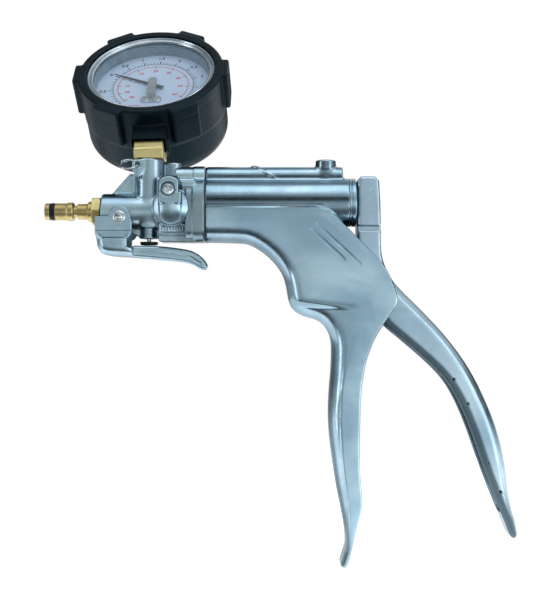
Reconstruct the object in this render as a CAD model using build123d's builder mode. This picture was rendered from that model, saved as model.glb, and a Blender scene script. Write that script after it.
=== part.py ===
from build123d import *
import os
from math import sin, cos, tan, pi, radians, sqrt

# Hand vacuum pump, pistol form.
# Origin: centre of the brass hose connector's nose, on its axis.
# +X points from the nose to the rear handle, +Z up, the release lever's rivets and the cover screw face -Y.

os.makedirs("parts", exist_ok=True)

# ---------------------------------------------------------------- driving dimensions (mm)
# cylinder
cyl_z = 4.3            # cylinder axis above the connector axis
cyl_r = 11.8           # outside of the barrel
bore_r = 9.5           # 19 mm bore
seam_x = 77.3          # rear face of the front head
gasket_t = 0.5
body_x = seam_x + gasket_t
cyl_end = 146.4        # rear face of the barrel
cap_end = 149.8        # rear face of the end cap
stroke = 22.0

# casting
body_w = 24.0          # width of web and grip across Y
wall = 3.0
half_in = body_w / 2 - wall
tube_r = 5.0           # air passage tube on top of the barrel
tube_z = 16.6
tube_end = 143.5
port_x = 135.4         # rear port boss
port_r = 4.9
port_top = 24.8
port_bore_r = 2.6
port_depth = 6.0       # socket depth for a muffler or tube
filter_r = 2.2         # smaller seat under the socket

# handle
piv_x, piv_z = 155.0, -34.6
piv_r = 2.5
arm_half = 8.5         # half width of the rear handle
rod_r = 3.0
rod_end = 157.7        # rear face of the rod
eye_gap_x = 159.4      # rear wall of the gap for the rod's eye
pin_r = 1.8
slot_half = 2.75       # half width of the cross pin's slot

# nose and gauge column
nose_r = 8.6
nose_x = 27.5
col_x, col_r, col_top = 50.4, 7.2, 25.0

# wire ring
eye_x, eye_y, eye_z = 45.4, -7.0, 22.0
ring_r = 4.4

# release lever
lev_x, lev_z = 37.0, -3.3
lev_in, lev_out = 9.2, 10.6
rivet_r = 1.5
boss_x = 50.0
boss_bot = -13.2
screw_y = 5.3            # head screws, each side of the middle plane

# gauge: 63 mm, tilted back 45 degrees, in a deep rubber boot
gn = Vector(-0.0454, -0.7072, 0.7055).normalized()
g_off = 49.3           # stem bend to gauge centre
lean = 1.98            # sideways lean of the stem in the gauge's plane, degrees
bend = Vector(col_x, 0, 27.0)
gx = (Vector(1, 0, 0) - gn * gn.X).normalized()
gy = gn.cross(gx)
stem_dir = gy * cos(radians(lean)) - gx * sin(radians(lean))
stem_x = gx * cos(radians(lean)) + gy * sin(radians(lean))
gc = bend + stem_dir * g_off
gauge = Plane(origin=gc, x_dir=gx, z_dir=gn)
boot_r = 36.9
lug_r = 39.5
boot_front = 17.0      # boot's front and back faces from the gauge's middle
boot_back = 26.5
lug_back = 3.0
case_r = 33.0
dial_h = 6.4
sq = 14.0              # stem square across flats
pointer_deg = 152.0    # pointer direction at zero
tooth_mod = 0.35
pinion_n = 12
sector_ratio = 5.0
pinion_r = tooth_mod * pinion_n / 2
sector_r = pinion_r * sector_ratio
sector_y = pinion_r + sector_r

# ---------------------------------------------------------------- outlines in the XZ plane
front_line = [(77.8, -14.9), (94.1, -15.4), (98.9, -16.3), (102.7, -18.3), (106.1, -20.7), (109.4, -23.7),
              (112.6, -27.6), (115.0, -32.0), (116.3, -37.2), (117.2, -42.2), (118.8, -46.2), (121.6, -49.0),
              (125.5, -50.8), (129.9, -52.1), (133.4, -54.1), (135.9, -57.2), (137.5, -61.4), (138.0, -67.0),
              (137.7, -76.3), (136.9, -85.9), (136.5, -95.5), (136.8, -105.1), (137.8, -115.0), (139.2, -125.5),
              (140.6, -133.9), (142.1, -141.1), (143.5, -148.3), (144.5, -155.5), (144.6, -160.8), (143.4, -165.2),
              (142.1, -169.9)]
rear_line = [(144.7, -169.9), (146.4, -165.6), (147.8, -160.3), (149.3, -153.1), (151.2, -145.9), (152.2, -141.1),
             (152.2, -134.9), (151.4, -124.3), (151.2, -109.9), (151.7, -90.7), (152.6, -81.1), (154.1, -72.5),
             (156.5, -65.3), (158.9, -60.0), (161.3, -55.9), (163.7, -52.3), (166.1, -48.7), (168.2, -45.6),
             (169.0, -41.8), (167.5, -36.5), (164.6, -29.8), (161.3, -24.5), (134.4, 2.9)]
hollow = [(101.5, -8.7), (106.5, -15.4), (110.4, -19.4), (113.9, -23.9), (116.7, -28.4), (118.6, -34.2),
          (119.7, -39.4), (121.1, -43.9), (124.5, -46.6), (129.3, -48.3), (134.9, -51.2), (138.9, -56.2),
          (140.9, -62.5), (141.1, -70.1), (140.8, -75.5), (140.3, -81.6), (139.8, -86.8), (139.5, -92.7),
          (139.5, -97.8), (139.8, -103.7), (140.3, -109.7), (140.8, -114.9), (141.5, -120.9), (142.3, -126.9),
          (143.4, -131.9), (144.6, -137.8), (145.7, -143.0), (146.8, -149.1), (147.5, -154.4), (147.9, -161.1),
          (146.2, -167.4), (147.0, -175.0), (185.0, -175.0), (185.0, -8.7)]
handle_line = [(161.5, -17.0), (162.0, -22.1), (163.9, -27.4), (167.2, -33.1), (171.8, -38.4), (177.4, -43.9),
               (183.8, -50.4), (190.1, -57.1), (196.3, -64.6), (202.0, -72.5), (207.2, -81.3), (211.5, -90.2),
               (215.0, -98.4), (217.7, -106.3), (219.8, -114.3), (221.5, -122.5), (222.6, -131.3), (223.6, -138.5),
               (225.1, -144.7), (226.6, -149.3), (227.3, -153.1), (226.8, -155.7), (225.1, -156.7), (223.3, -155.2),
               (220.6, -148.5), (217.5, -141.1), (214.4, -133.4), (211.1, -124.6), (207.8, -115.2), (204.5, -105.8),
               (201.0, -97.0), (197.4, -89.4), (193.4, -82.8), (188.4, -76.8), (180.5, -69.4), (170.9, -61.2),
               (163.7, -55.0), (158.0, -47.0), (151.0, -42.2), (147.6, -38.0), (147.0, -33.0), (148.4, -27.0),
               (150.2, -20.0)]
handle_hollow = [(164.0, -38.5), (167.6, -40.4), (172.2, -44.6), (176.9, -49.0), (181.6, -53.6), (186.1, -58.2),
                 (190.3, -62.9), (194.4, -68.0), (198.3, -73.2), (201.7, -78.5), (205.1, -84.8), (208.1, -90.8),
                 (210.9, -97.0), (213.3, -103.0), (215.4, -109.2), (217.1, -115.3), (218.3, -121.4), (219.3, -127.7),
                 (220.0, -134.0), (220.7, -140.0), (221.4, -144.6), (215.0, -144.6), (185.0, -144.6), (150.0, -75.0),
                 (150.0, -52.0)]

# ---------------------------------------------------------------- pump body: barrel, air tube, web and hollow grip in one casting
with BuildPart() as pump_body:
    with BuildSketch(Plane.XZ):
        with BuildLine():
            Spline(*front_line)
            Line(front_line[-1], rear_line[0])
            Polyline(*rear_line)
            Line(rear_line[-1], (77.8, 1.4))
            Line((77.8, 1.4), front_line[0])
        make_face()
    extrude(amount=body_w / 2, both=True)
    # the finger side of the casting is rounded
    fillet(pump_body.edges().filter_by(lambda e: abs(abs(e.center().Y) - body_w / 2) < 0.01 and e.length > 150), 2.6)
    with BuildSketch(Plane.XZ):
        with BuildLine():
            Polyline(*hollow, close=True)
        make_face()
    extrude(amount=half_in, both=True, mode=Mode.SUBTRACT)
    # barrel, air tube and rear port
    with BuildSketch(Plane.YZ.offset(body_x)):
        with Locations((0, cyl_z)):
            Circle(cyl_r)
    extrude(amount=cyl_end - body_x)
    with BuildSketch(Plane.YZ.offset(body_x)):
        with Locations((0, tube_z)):
            Circle(tube_r)
        with Locations((0, tube_z - 4)):
            Rectangle(7, 6)
    extrude(amount=tube_end - body_x)
    with BuildSketch(Plane.XY.offset(tube_z)):
        with Locations((port_x, 0)):
            Circle(port_r)
    extrude(amount=port_top - tube_z)
    # bore, air passage, port
    with BuildSketch(Plane.YZ.offset(body_x)):
        with Locations((0, cyl_z)):
            Circle(bore_r)
    extrude(amount=cyl_end - body_x, mode=Mode.SUBTRACT)
    with BuildSketch(Plane.YZ.offset(body_x)):
        with Locations((0, tube_z)):
            Circle(1.6)
    extrude(amount=port_x - body_x, mode=Mode.SUBTRACT)
    with BuildSketch(Plane.XY.offset(port_top)):
        with Locations((port_x, 0)):
            Circle(port_bore_r)
    extrude(amount=-port_depth, mode=Mode.SUBTRACT)
    with BuildSketch(Plane.XY.offset(port_top)):
        with Locations((port_x, 0)):
            Circle(filter_r)
    extrude(amount=-8.6, mode=Mode.SUBTRACT)
    with BuildSketch(Plane.YZ.offset(tube_end)):
        with Locations((0, tube_z)):
            Circle(2.4)
    extrude(amount=-4.0, mode=Mode.SUBTRACT)
    # handle pin: through the far wall, blind in the near wall
    with BuildSketch(Plane.XZ.offset(-body_w / 2)):
        with Locations((piv_x, piv_z)):
            Circle(piv_r)
    extrude(amount=body_w - 1.2, mode=Mode.SUBTRACT)
    # threads for the two head screws
    with BuildSketch(Plane.YZ.offset(body_x)):
        with Locations((screw_y, -10.9), (-screw_y, -10.9)):
            Circle(1.25)
    extrude(amount=8.0, mode=Mode.SUBTRACT)
pump_body.part.label = "pump_body"
export_step(pump_body.part, "parts/pump_body.step")

# ---------------------------------------------------------------- front head: nose, gauge column, gusset, flange, release valve boss
with BuildPart() as front_head:
    # core between column and flange
    with BuildSketch(Plane.XZ):
        with BuildLine():
            Polyline((55.2, -14.9), (73.0, -14.9), (73.0, 15.6), (57.0, 15.6), (55.2, 12.0), close=True)
        make_face()
    extrude(amount=8.5, both=True)
    fillet(front_head.edges().filter_by(Axis.X), 1.2)
    # flange against the body
    with BuildSketch(Plane.YZ.offset(71.6)):
        with Locations((0, cyl_z)):
            Circle(12.2)
        with Locations((0, -5.4)):
            Rectangle(24.0, 19.0)
        with Locations((0, tube_z)):
            Circle(5.3)
    extrude(amount=seam_x - 71.6)
    # register in the bore
    with BuildSketch(Plane.YZ.offset(seam_x)):
        with Locations((0, cyl_z)):
            Circle(bore_r - 0.05)
    extrude(amount=3.4)
    # air tube
    with BuildSketch(Plane.YZ.offset(62.9)):
        with Locations((0, tube_z)):
            Circle(tube_r)
    extrude(amount=seam_x - 62.9)
    # nose
    with BuildSketch(Plane.YZ.offset(nose_x)):
        Circle(nose_r)
    extrude(amount=57.0 - nose_x)
    # gauge column and small boss behind it
    with BuildSketch(Plane.XY.offset(-8.0)):
        with Locations((col_x, 0)):
            Circle(col_r)
    extrude(amount=col_top + 8.0)
    with BuildSketch(Plane.XY.offset(8.0)):
        with Locations((61.9, 1.5)):
            Circle(3.9)
    extrude(amount=15.5)
    with BuildSketch(Plane.XY.offset(8.0)):
        with Locations((58.2, 0.9)):
            Rectangle(4.0, 3.0)
    extrude(amount=14.6)
    # gusset from nose to column
    with BuildSketch(Plane.XZ):
        with BuildLine():
            Polyline((32.4, 8.0), (41.6, 18.4), (46.5, 18.4), (50.0, 8.0), (50.0, 5.0), (32.4, 5.0), close=True)
        make_face()
    extrude(amount=1.6, both=True)
    # eye for the wire ring
    with BuildSketch(Plane.XZ.offset(6.2)):
        with BuildLine():
            Polyline((48.6, 16.6), (48.6, 24.4), (44.2, 24.4), (42.8, 23.2), (42.7, 20.2), (44.6, 16.2), (46.0, 15.8), close=True)
        make_face()
    extrude(amount=1.6)
    # release valve boss
    with BuildSketch(Plane.XY.offset(boss_bot)):
        with Locations((boss_x, 0)):
            Circle(4.4)
    extrude(amount=9.0)
    with BuildSketch(Plane.XZ):
        with BuildLine():
            Polyline((40.5, -4.0), (56.0, -4.0), (56.0, -12.8), (46.4, -12.8), (40.5, -10.2), close=True)
        make_face()
    extrude(amount=2.2, both=True)
    # seat of the valve cover on the near side
    with BuildSketch(Plane.XZ.offset(8.0)):
        with Locations((61.6, 1.5)):
            Circle(9.2)
    extrude(amount=2.4)
    with BuildSketch(Plane.XZ.offset(8.0)):
        with Locations((60.9, 9.8)):
            Rectangle(9.4, 13.2)
    extrude(amount=2.4)
    # plain pad low on the near side
    with BuildSketch(Plane.XZ.offset(8.0)):
        with Locations((63.8, -8.9)):
            RectangleRounded(16.4, 5.4, 1.0)
    extrude(amount=1.3)
    # connector socket, air ways
    with BuildSketch(Plane.YZ.offset(nose_x)):
        Circle(4.4)
    extrude(amount=9.0, mode=Mode.SUBTRACT)
    with BuildSketch(Plane.YZ.offset(nose_x)):
        Circle(1.1)
    extrude(amount=38.0, mode=Mode.SUBTRACT)
    with BuildSketch(Plane.XY.offset(col_top)):
        with Locations((col_x, 0)):
            Circle(4.8)
    extrude(amount=-12.0, mode=Mode.SUBTRACT)
    with BuildSketch(Plane.XY.offset(col_top)):
        with Locations((col_x, 0)):
            Circle(1.2)
    extrude(amount=-25.0, mode=Mode.SUBTRACT)
    # release valve: port, chamber
    with BuildSketch(Plane.XY.offset(boss_bot)):
        with Locations((boss_x, 0)):
            Circle(2.2)
    extrude(amount=9.0, mode=Mode.SUBTRACT)
    with BuildSketch(Plane.XY.offset(boss_bot)):
        with Locations((boss_x, 0)):
            Circle(0.8)
    extrude(amount=13.0, mode=Mode.SUBTRACT)
    # valve pockets under the cover
    with BuildSketch(Plane.XZ.offset(10.4)):
        with Locations((58.2, 0.6), (65.0, 0.6)):
            Circle(3.1)
    extrude(amount=-3.4, mode=Mode.SUBTRACT)
    # way from the valves into the cylinder
    with BuildSketch(Plane.YZ.offset(60.0)):
        with Locations((-6.0, 0.6)):
            Circle(1.0)
    extrude(amount=21.0, mode=Mode.SUBTRACT)
    with BuildSketch(Plane.YZ.offset(66.0)):
        with Locations((0, tube_z)):
            Circle(1.6)
    extrude(amount=12.0, mode=Mode.SUBTRACT)
    # cover screw thread
    with BuildSketch(Plane.XZ.offset(10.4)):
        with Locations((60.6, 9.4)):
            Circle(1.25)
    extrude(amount=-8.0, mode=Mode.SUBTRACT)
    # rivet holes in the nose
    with BuildSketch(Plane.XZ.offset(-9.0)):
        with Locations((lev_x, lev_z)):
            Circle(rivet_r)
    extrude(amount=5.4, mode=Mode.SUBTRACT)
    with BuildSketch(Plane.XZ.offset(9.0)):
        with Locations((lev_x, lev_z)):
            Circle(rivet_r)
    extrude(amount=-5.4, mode=Mode.SUBTRACT)
    # head screws, counterbored in the flange
    with BuildSketch(Plane.YZ.offset(70.0)):
        with Locations((screw_y, -10.9), (-screw_y, -10.9)):
            Circle(1.6)
    extrude(amount=8.0, mode=Mode.SUBTRACT)
    with BuildSketch(Plane.YZ.offset(54.7)):
        with Locations((screw_y, -10.9), (-screw_y, -10.9)):
            Circle(2.6)
    extrude(amount=19.3, mode=Mode.SUBTRACT)
    # hole of the eye
    with BuildSketch(Plane.XZ.offset(6.0)):
        with Locations((eye_x, eye_z)):
            Circle(1.35)
    extrude(amount=3.0, mode=Mode.SUBTRACT)
front_head.part.label = "front_head"
export_step(front_head.part, "parts/front_head.step")

# ---------------------------------------------------------------- gasket and screws between head and body
with BuildPart() as head_gasket:
    with BuildSketch(Plane.YZ.offset(seam_x)):
        with Locations((0, cyl_z)):
            Circle(cyl_r - 0.2)
        with Locations((0, -5.4)):
            Rectangle(23.4, 18.4)
        with Locations((0, tube_z)):
            Circle(4.8)
        with Locations((0, cyl_z)):
            Circle(bore_r, mode=Mode.SUBTRACT)
        with Locations((0, tube_z)):
            Circle(1.7, mode=Mode.SUBTRACT)
        with Locations((screw_y, -10.9), (-screw_y, -10.9)):
            Circle(1.7, mode=Mode.SUBTRACT)
    extrude(amount=gasket_t)
head_gasket.part.label = "head_gasket"
export_step(head_gasket.part, "parts/head_gasket.step")

with BuildPart() as head_screws:
    with BuildSketch(Plane.YZ.offset(70.8)):
        with Locations((screw_y, -10.9), (-screw_y, -10.9)):
            Circle(2.4)
    extrude(amount=3.2)
    with BuildSketch(Plane.YZ.offset(74.0)):
        with Locations((screw_y, -10.9), (-screw_y, -10.9)):
            Circle(1.25)
    extrude(amount=10.0)
    with BuildSketch(Plane.YZ.offset(70.8)):
        with Locations((screw_y, -10.9), (-screw_y, -10.9)):
            RegularPolygon(1.45, 6)
    extrude(amount=1.6, mode=Mode.SUBTRACT)
    fillet(head_screws.edges().filter_by(GeomType.CIRCLE).filter_by_position(Axis.X, 70.7, 70.9), 0.4)
head_screws.part.label = "head_screws"
export_step(head_screws.part, "parts/head_screws.step")

# ---------------------------------------------------------------- valve cover with its screw, gasket and the two umbrella valves
with BuildPart() as valve_cover:
    with BuildSketch(Plane.XZ.offset(10.8)):
        with Locations((61.6, 1.5)):
            Circle(8.8)
    extrude(amount=1.6)
    with BuildSketch(Plane.XZ.offset(12.4)):
        with Locations((61.6, 1.5)):
            Circle(8.2)
    extrude(amount=3.4, taper=28)
    with BuildSketch(Plane.XZ.offset(10.8)):
        with Locations((60.9, 9.8)):
            RectangleRounded(9.0, 12.8, 1.0)
    extrude(amount=4.2)
    fillet(valve_cover.edges().filter_by_position(Axis.Y, -15.9, -14.9), 0.5)
    with BuildSketch(Plane.XZ.offset(15.0)):
        with Locations((60.6, 9.4)):
            Circle(3.3)
    extrude(amount=-2.0, mode=Mode.SUBTRACT)
    with BuildSketch(Plane.XZ.offset(13.2)):
        with Locations((60.6, 9.4)):
            Circle(1.5)
    extrude(amount=-3.0, mode=Mode.SUBTRACT)
valve_cover.part.label = "valve_cover"
export_step(valve_cover.part, "parts/valve_cover.step")

with BuildPart() as valve_cover_gasket:
    with BuildSketch(Plane.XZ.offset(10.4)):
        with Locations((61.6, 1.5)):
            Circle(8.7)
        with Locations((60.9, 9.8)):
            RectangleRounded(8.8, 12.6, 1.0)
        with Locations((58.2, 0.6), (65.0, 0.6)):
            Circle(3.1, mode=Mode.SUBTRACT)
        with Locations((60.6, 9.4)):
            Circle(1.5, mode=Mode.SUBTRACT)
    extrude(amount=0.4)
valve_cover_gasket.part.label = "valve_cover_gasket"
export_step(valve_cover_gasket.part, "parts/valve_cover_gasket.step")

with BuildPart() as valve_cover_screw:
    with BuildSketch(Plane.XZ.offset(13.0)):
        with Locations((60.6, 9.4)):
            Circle(2.7)
    extrude(amount=1.7)
    fillet(valve_cover_screw.edges().filter_by_position(Axis.Y, -14.8, -14.6), 0.8)
    with BuildSketch(Plane.XZ.offset(13.0)):
        with Locations((60.6, 9.4)):
            Circle(1.25)
    extrude(amount=-10.0)
    with BuildSketch(Plane.XZ.offset(14.8)):
        with Locations((60.6, 9.4)):
            Rectangle(2.9, 0.6)
            Rectangle(0.6, 2.9)
    extrude(amount=-1.1, mode=Mode.SUBTRACT)
valve_cover_screw.part.label = "valve_cover_screw"
export_step(valve_cover_screw.part, "parts/valve_cover_screw.step")

with BuildPart() as inlet_check_valve:
    with BuildSketch(Plane.XZ.offset(7.2)):
        with Locations((58.2, 0.6)):
            Circle(2.9)
    extrude(amount=0.9)
    with BuildSketch(Plane.XZ.offset(8.1)):
        with Locations((58.2, 0.6)):
            Circle(1.1)
    extrude(amount=2.0)
inlet_check_valve.part.label = "inlet_check_valve"
export_step(inlet_check_valve.part, "parts/inlet_check_valve.step")

with BuildPart() as exhaust_check_valve:
    with BuildSketch(Plane.XZ.offset(7.2)):
        with Locations((65.0, 0.6)):
            Circle(2.9)
    extrude(amount=0.9)
    with BuildSketch(Plane.XZ.offset(8.1)):
        with Locations((65.0, 0.6)):
            Circle(1.1)
    extrude(amount=2.0)
exhaust_check_valve.part.label = "exhaust_check_valve"
export_step(exhaust_check_valve.part, "parts/exhaust_check_valve.step")

# ---------------------------------------------------------------- brass hose connector with its O-ring, turned about X
with BuildPart() as hose_connector:
    with BuildSketch(Plane.XZ):
        with BuildLine():
            Polyline((0.0, 1.4), (0.0, 4.1), (2.4, 4.1), (2.4, 3.2), (4.8, 3.2), (4.8, 4.1), (10.4, 4.1),
                     (11.4, 4.5), (13.2, 4.5), (14.0, 3.8), (14.0, 2.7), (15.5, 2.7), (15.5, 3.8), (20.6, 3.8),
                     (20.9, 4.9), (22.8, 4.9), (22.8, 6.3), (27.3, 6.3), (27.3, 4.3), (36.0, 4.3), (36.0, 1.4), close=True)
        make_face()
    revolve(axis=Axis.X)
    with BuildSketch(Plane.YZ.offset(22.9)):
        RegularPolygon(7.4, 6)
    extrude(amount=4.2)
    with BuildSketch(Plane.YZ.offset(22.8)):
        Circle(1.4)
    extrude(amount=5.0, mode=Mode.SUBTRACT)
hose_connector.part.label = "hose_connector"
export_step(hose_connector.part, "parts/hose_connector.step")

with BuildPart() as connector_o_ring:
    with BuildSketch(Plane.XZ):
        with Locations((3.6, 3.65)):
            Ellipse(1.1, 0.45)
    revolve(axis=Axis.X)
connector_o_ring.part.label = "connector_o_ring"
export_step(connector_o_ring.part, "parts/connector_o_ring.step")

# ---------------------------------------------------------------- barrel end cap, bushing, rod seal
with BuildPart() as barrel_end_cap:
    with BuildSketch(Plane.YZ.offset(140.6)):
        with Locations((0, cyl_z)):
            Circle(bore_r - 0.05)
            Circle(5.0, mode=Mode.SUBTRACT)
    extrude(amount=cyl_end - 140.6)
    with BuildSketch(Plane.YZ.offset(cyl_end)):
        with Locations((0, cyl_z)):
            Circle(cyl_r - 0.1)
            Circle(5.0, mode=Mode.SUBTRACT)
    extrude(amount=cap_end - cyl_end)
    fillet(barrel_end_cap.edges().filter_by(GeomType.CIRCLE).filter_by_position(Axis.X, cap_end - 0.05, cap_end + 0.05).sort_by(SortBy.LENGTH)[-1:], 0.6)
barrel_end_cap.part.label = "barrel_end_cap"
export_step(barrel_end_cap.part, "parts/barrel_end_cap.step")

with BuildPart() as rod_bushing:
    with BuildSketch(Plane.YZ.offset(142.6)):
        with Locations((0, cyl_z)):
            Circle(5.0)
            Circle(rod_r + 0.05, mode=Mode.SUBTRACT)
    extrude(amount=7.0)
rod_bushing.part.label = "rod_bushing"
export_step(rod_bushing.part, "parts/rod_bushing.step")

with BuildPart() as rod_seal:
    with BuildSketch(Plane.YZ.offset(140.8)):
        with Locations((0, cyl_z)):
            Circle(4.95)
            Circle(rod_r + 0.03, mode=Mode.SUBTRACT)
    extrude(amount=1.7)
rod_seal.part.label = "rod_seal"
export_step(rod_seal.part, "parts/rod_seal.step")

# ---------------------------------------------------------------- passage plug and exhaust filter
with BuildPart() as passage_plug:
    with BuildSketch(Plane.YZ.offset(tube_end - 3.8)):
        with Locations((0, tube_z)):
            Circle(2.4)
    extrude(amount=3.8)
passage_plug.part.label = "passage_plug"
export_step(passage_plug.part, "parts/passage_plug.step")

with BuildPart() as exhaust_filter:
    with BuildSketch(Plane.XY.offset(port_top - 8.4)):
        with Locations((port_x, 0)):
            Circle(filter_r)
    extrude(amount=1.6)
exhaust_filter.part.label = "exhaust_filter"
export_step(exhaust_filter.part, "parts/exhaust_filter.step")

# ---------------------------------------------------------------- piston group
with BuildPart() as piston_rod:
    with BuildSketch(Plane.YZ.offset(86.0)):
        with Locations((0, cyl_z)):
            Circle(rod_r)
    extrude(amount=rod_end - 86.0)
    fillet(piston_rod.edges().filter_by_position(Axis.X, rod_end - 0.1, rod_end + 0.1), 1.6)
    with BuildSketch(Plane.XZ.offset(4.0)):
        with Locations((piv_x, cyl_z)):
            Circle(pin_r)
    extrude(amount=-8.0, mode=Mode.SUBTRACT)
piston_rod.part.label = "piston_rod"
export_step(piston_rod.part, "parts/piston_rod.step")

with BuildPart() as piston:
    with BuildSketch(Plane.XZ):
        with BuildLine():
            Polyline((82.0, cyl_z + 1.6), (82.0, cyl_z + 9.1), (84.6, cyl_z + 9.1), (84.6, cyl_z + 7.6), (87.4, cyl_z + 7.6),
                     (87.4, cyl_z + 9.1), (92.0, cyl_z + 9.1), (92.0, cyl_z + 3.0), (86.0, cyl_z + 3.0), (86.0, cyl_z + 1.6), close=True)
        make_face()
    revolve(axis=Axis((0, 0, cyl_z), (1, 0, 0)))
piston.part.label = "piston"
export_step(piston.part, "parts/piston.step")

with BuildPart() as piston_seal:
    with BuildSketch(Plane.YZ.offset(84.7)):
        with Locations((0, cyl_z)):
            Circle(bore_r - 0.05)
            Circle(7.6, mode=Mode.SUBTRACT)
    extrude(amount=2.6)
piston_seal.part.label = "piston_seal"
export_step(piston_seal.part, "parts/piston_seal.step")

with BuildPart() as piston_screw:
    with BuildSketch(Plane.YZ.offset(80.9)):
        with Locations((0, cyl_z)):
            Circle(3.0)
    extrude(amount=1.1)
    with BuildSketch(Plane.YZ.offset(82.0)):
        with Locations((0, cyl_z)):
            Circle(1.6)
    extrude(amount=4.0)
piston_screw.part.label = "piston_screw"
export_step(piston_screw.part, "parts/piston_screw.step")

with BuildPart() as rod_cross_pin:
    with BuildSketch(Plane.XZ.offset(5.8)):
        with Locations((piv_x, cyl_z)):
            Circle(pin_r)
    extrude(amount=-11.6)
rod_cross_pin.part.label = "rod_cross_pin"
export_step(rod_cross_pin.part, "parts/rod_cross_pin.step")

# return spring between piston and end cap
with BuildPart() as return_spring:
    with BuildLine() as coil:
        Helix(pitch=6.0, height=46.6, radius=6.4, center=(92.7, 0, cyl_z), direction=(1, 0, 0))
    with BuildSketch(Plane(origin=coil.line @ 0, z_dir=coil.line % 0)):
        Circle(0.6)
    sweep(is_frenet=True)
return_spring.part.label = "return_spring"
export_step(return_spring.part, "parts/return_spring.step")

# ---------------------------------------------------------------- rear handle: lug, pivot boss, channel
with BuildPart() as actuating_handle:
    with BuildSketch(Plane.XZ):
        with BuildLine():
            Polyline(*handle_line, (150.2, 14.4), (151.9, 16.3), (158.6, 16.3), (160.6, 14.2), (161.3, 0.0), close=True)
        make_face()
    extrude(amount=arm_half, both=True)
    # channel open towards the grip
    with BuildSketch(Plane.XZ):
        with BuildLine():
            Polyline(*handle_hollow, close=True)
        make_face()
    extrude(amount=arm_half - 2.5, both=True, mode=Mode.SUBTRACT)
    # solid boss round the pivot
    with BuildSketch(Plane.XZ):
        with Locations((piv_x, piv_z)):
            Circle(8.0)
    extrude(amount=arm_half, both=True)
    # gap for the rod's eye, open to the front
    with BuildSketch(Plane.XZ):
        with BuildLine():
            Polyline((148.0, 0.3), (eye_gap_x, 0.3), (eye_gap_x, 13.8), (148.0, 13.8), close=True)
        make_face()
    extrude(amount=3.5, both=True, mode=Mode.SUBTRACT)
    # blind slots for the cross pin, one in each cheek
    with BuildSketch(Plane.XZ):
        with Locations((piv_x, 7.2)):
            Rectangle(2 * slot_half, 11.6)
    extrude(amount=6.3, both=True, mode=Mode.SUBTRACT)
    with BuildSketch(Plane.XZ.offset(-12.0)):
        with Locations((piv_x, piv_z)):
            Circle(piv_r + 0.05)
    extrude(amount=24.0, mode=Mode.SUBTRACT)
actuating_handle.part.label = "actuating_handle"
export_step(actuating_handle.part, "parts/actuating_handle.step")

with BuildPart() as handle_pivot_pin:
    with BuildSketch(Plane.XZ.offset(-body_w / 2)):
        with Locations((piv_x, piv_z)):
            Circle(piv_r)
    extrude(amount=body_w - 1.4)
    chamfer(handle_pivot_pin.edges().filter_by_position(Axis.Y, 11.9, 12.1), 0.4)
handle_pivot_pin.part.label = "handle_pivot_pin"
export_step(handle_pivot_pin.part, "parts/handle_pivot_pin.step")

# ---------------------------------------------------------------- release lever: cup round the nose, two ears, thumb arm
with BuildPart() as release_lever:
    with BuildSketch(Plane.XZ):
        with BuildLine():
            Polyline((25.4, -3.0), (25.4, -13.0), (25.9, -16.8), (27.6, -19.6), (31.0, -21.3), (41.3, -22.1), (55.7, -23.3),
                     (67.7, -24.7), (72.5, -26.4), (74.9, -27.8), (76.6, -28.3), (78.0, -27.4), (78.2, -25.9), (76.3, -22.8),
                     (72.5, -19.9), (67.7, -18.4), (55.7, -16.9), (42.9, -16.6), (42.9, -5.0), (42.3, -3.3), (41.5, -0.4),
                     (39.3, 1.5), (37.0, 2.1), (34.7, 1.5), (32.5, -0.4), (31.6, -3.0), close=True)
        make_face()
    extrude(amount=lev_out, both=True)
    # hollow of the cup, open to the top and the rear
    with BuildSketch(Plane.XZ):
        with BuildLine():
            Polyline((26.8, 5.0), (26.8, -13.0), (27.3, -16.2), (28.8, -18.6), (31.5, -19.9), (43.2, -20.7),
                     (43.2, 5.0), close=True)
        make_face()
    extrude(amount=lev_in, both=True, mode=Mode.SUBTRACT)
    # the arm is narrower than the cup
    with BuildSketch(Plane.XY.offset(-40.0)):
        with BuildLine():
            Polyline((43.4, -11.0), (43.4, -6.4), (60.0, -5.8), (79.0, -5.0), (79.0, -11.0), close=True)
        make_face()
    extrude(amount=27.0, mode=Mode.SUBTRACT)
    with BuildSketch(Plane.XY.offset(-40.0)):
        with BuildLine():
            Polyline((43.4, 11.0), (43.4, 6.4), (60.0, 5.8), (79.0, 5.0), (79.0, 11.0), close=True)
        make_face()
    extrude(amount=27.0, mode=Mode.SUBTRACT)
    # underside of the arm is a channel
    with BuildSketch(Plane.XZ):
        with BuildLine():
            Polyline((46.5, -24.0), (46.5, -18.6), (55.7, -19.0), (66.5, -20.4), (70.5, -21.9), (72.6, -23.6), (70.0, -30.0), close=True)
        make_face()
    extrude(amount=3.6, both=True, mode=Mode.SUBTRACT)
    # notch for the connector's hexagon, rivet holes
    with BuildSketch(Plane.YZ.offset(20.0)):
        Circle(8.4)
    extrude(amount=7.2, mode=Mode.SUBTRACT)
    with BuildSketch(Plane.XZ.offset(-12.0)):
        with Locations((lev_x, lev_z)):
            Circle(rivet_r + 0.05)
    extrude(amount=24.0, mode=Mode.SUBTRACT)
release_lever.part.label = "release_lever"
export_step(release_lever.part, "parts/release_lever.step")

with BuildPart() as lever_rivets:
    with BuildSketch(Plane.XZ.offset(3.8)):
        with Locations((lev_x, lev_z)):
            Circle(rivet_r)
    extrude(amount=7.1)
    with BuildSketch(Plane.XZ.offset(10.9)):
        with Locations((lev_x, lev_z)):
            Circle(2.9)
    extrude(amount=1.1, taper=25)
    mirror(about=Plane.XZ)
lever_rivets.part.label = "lever_rivets"
export_step(lever_rivets.part, "parts/lever_rivets.step")

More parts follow.
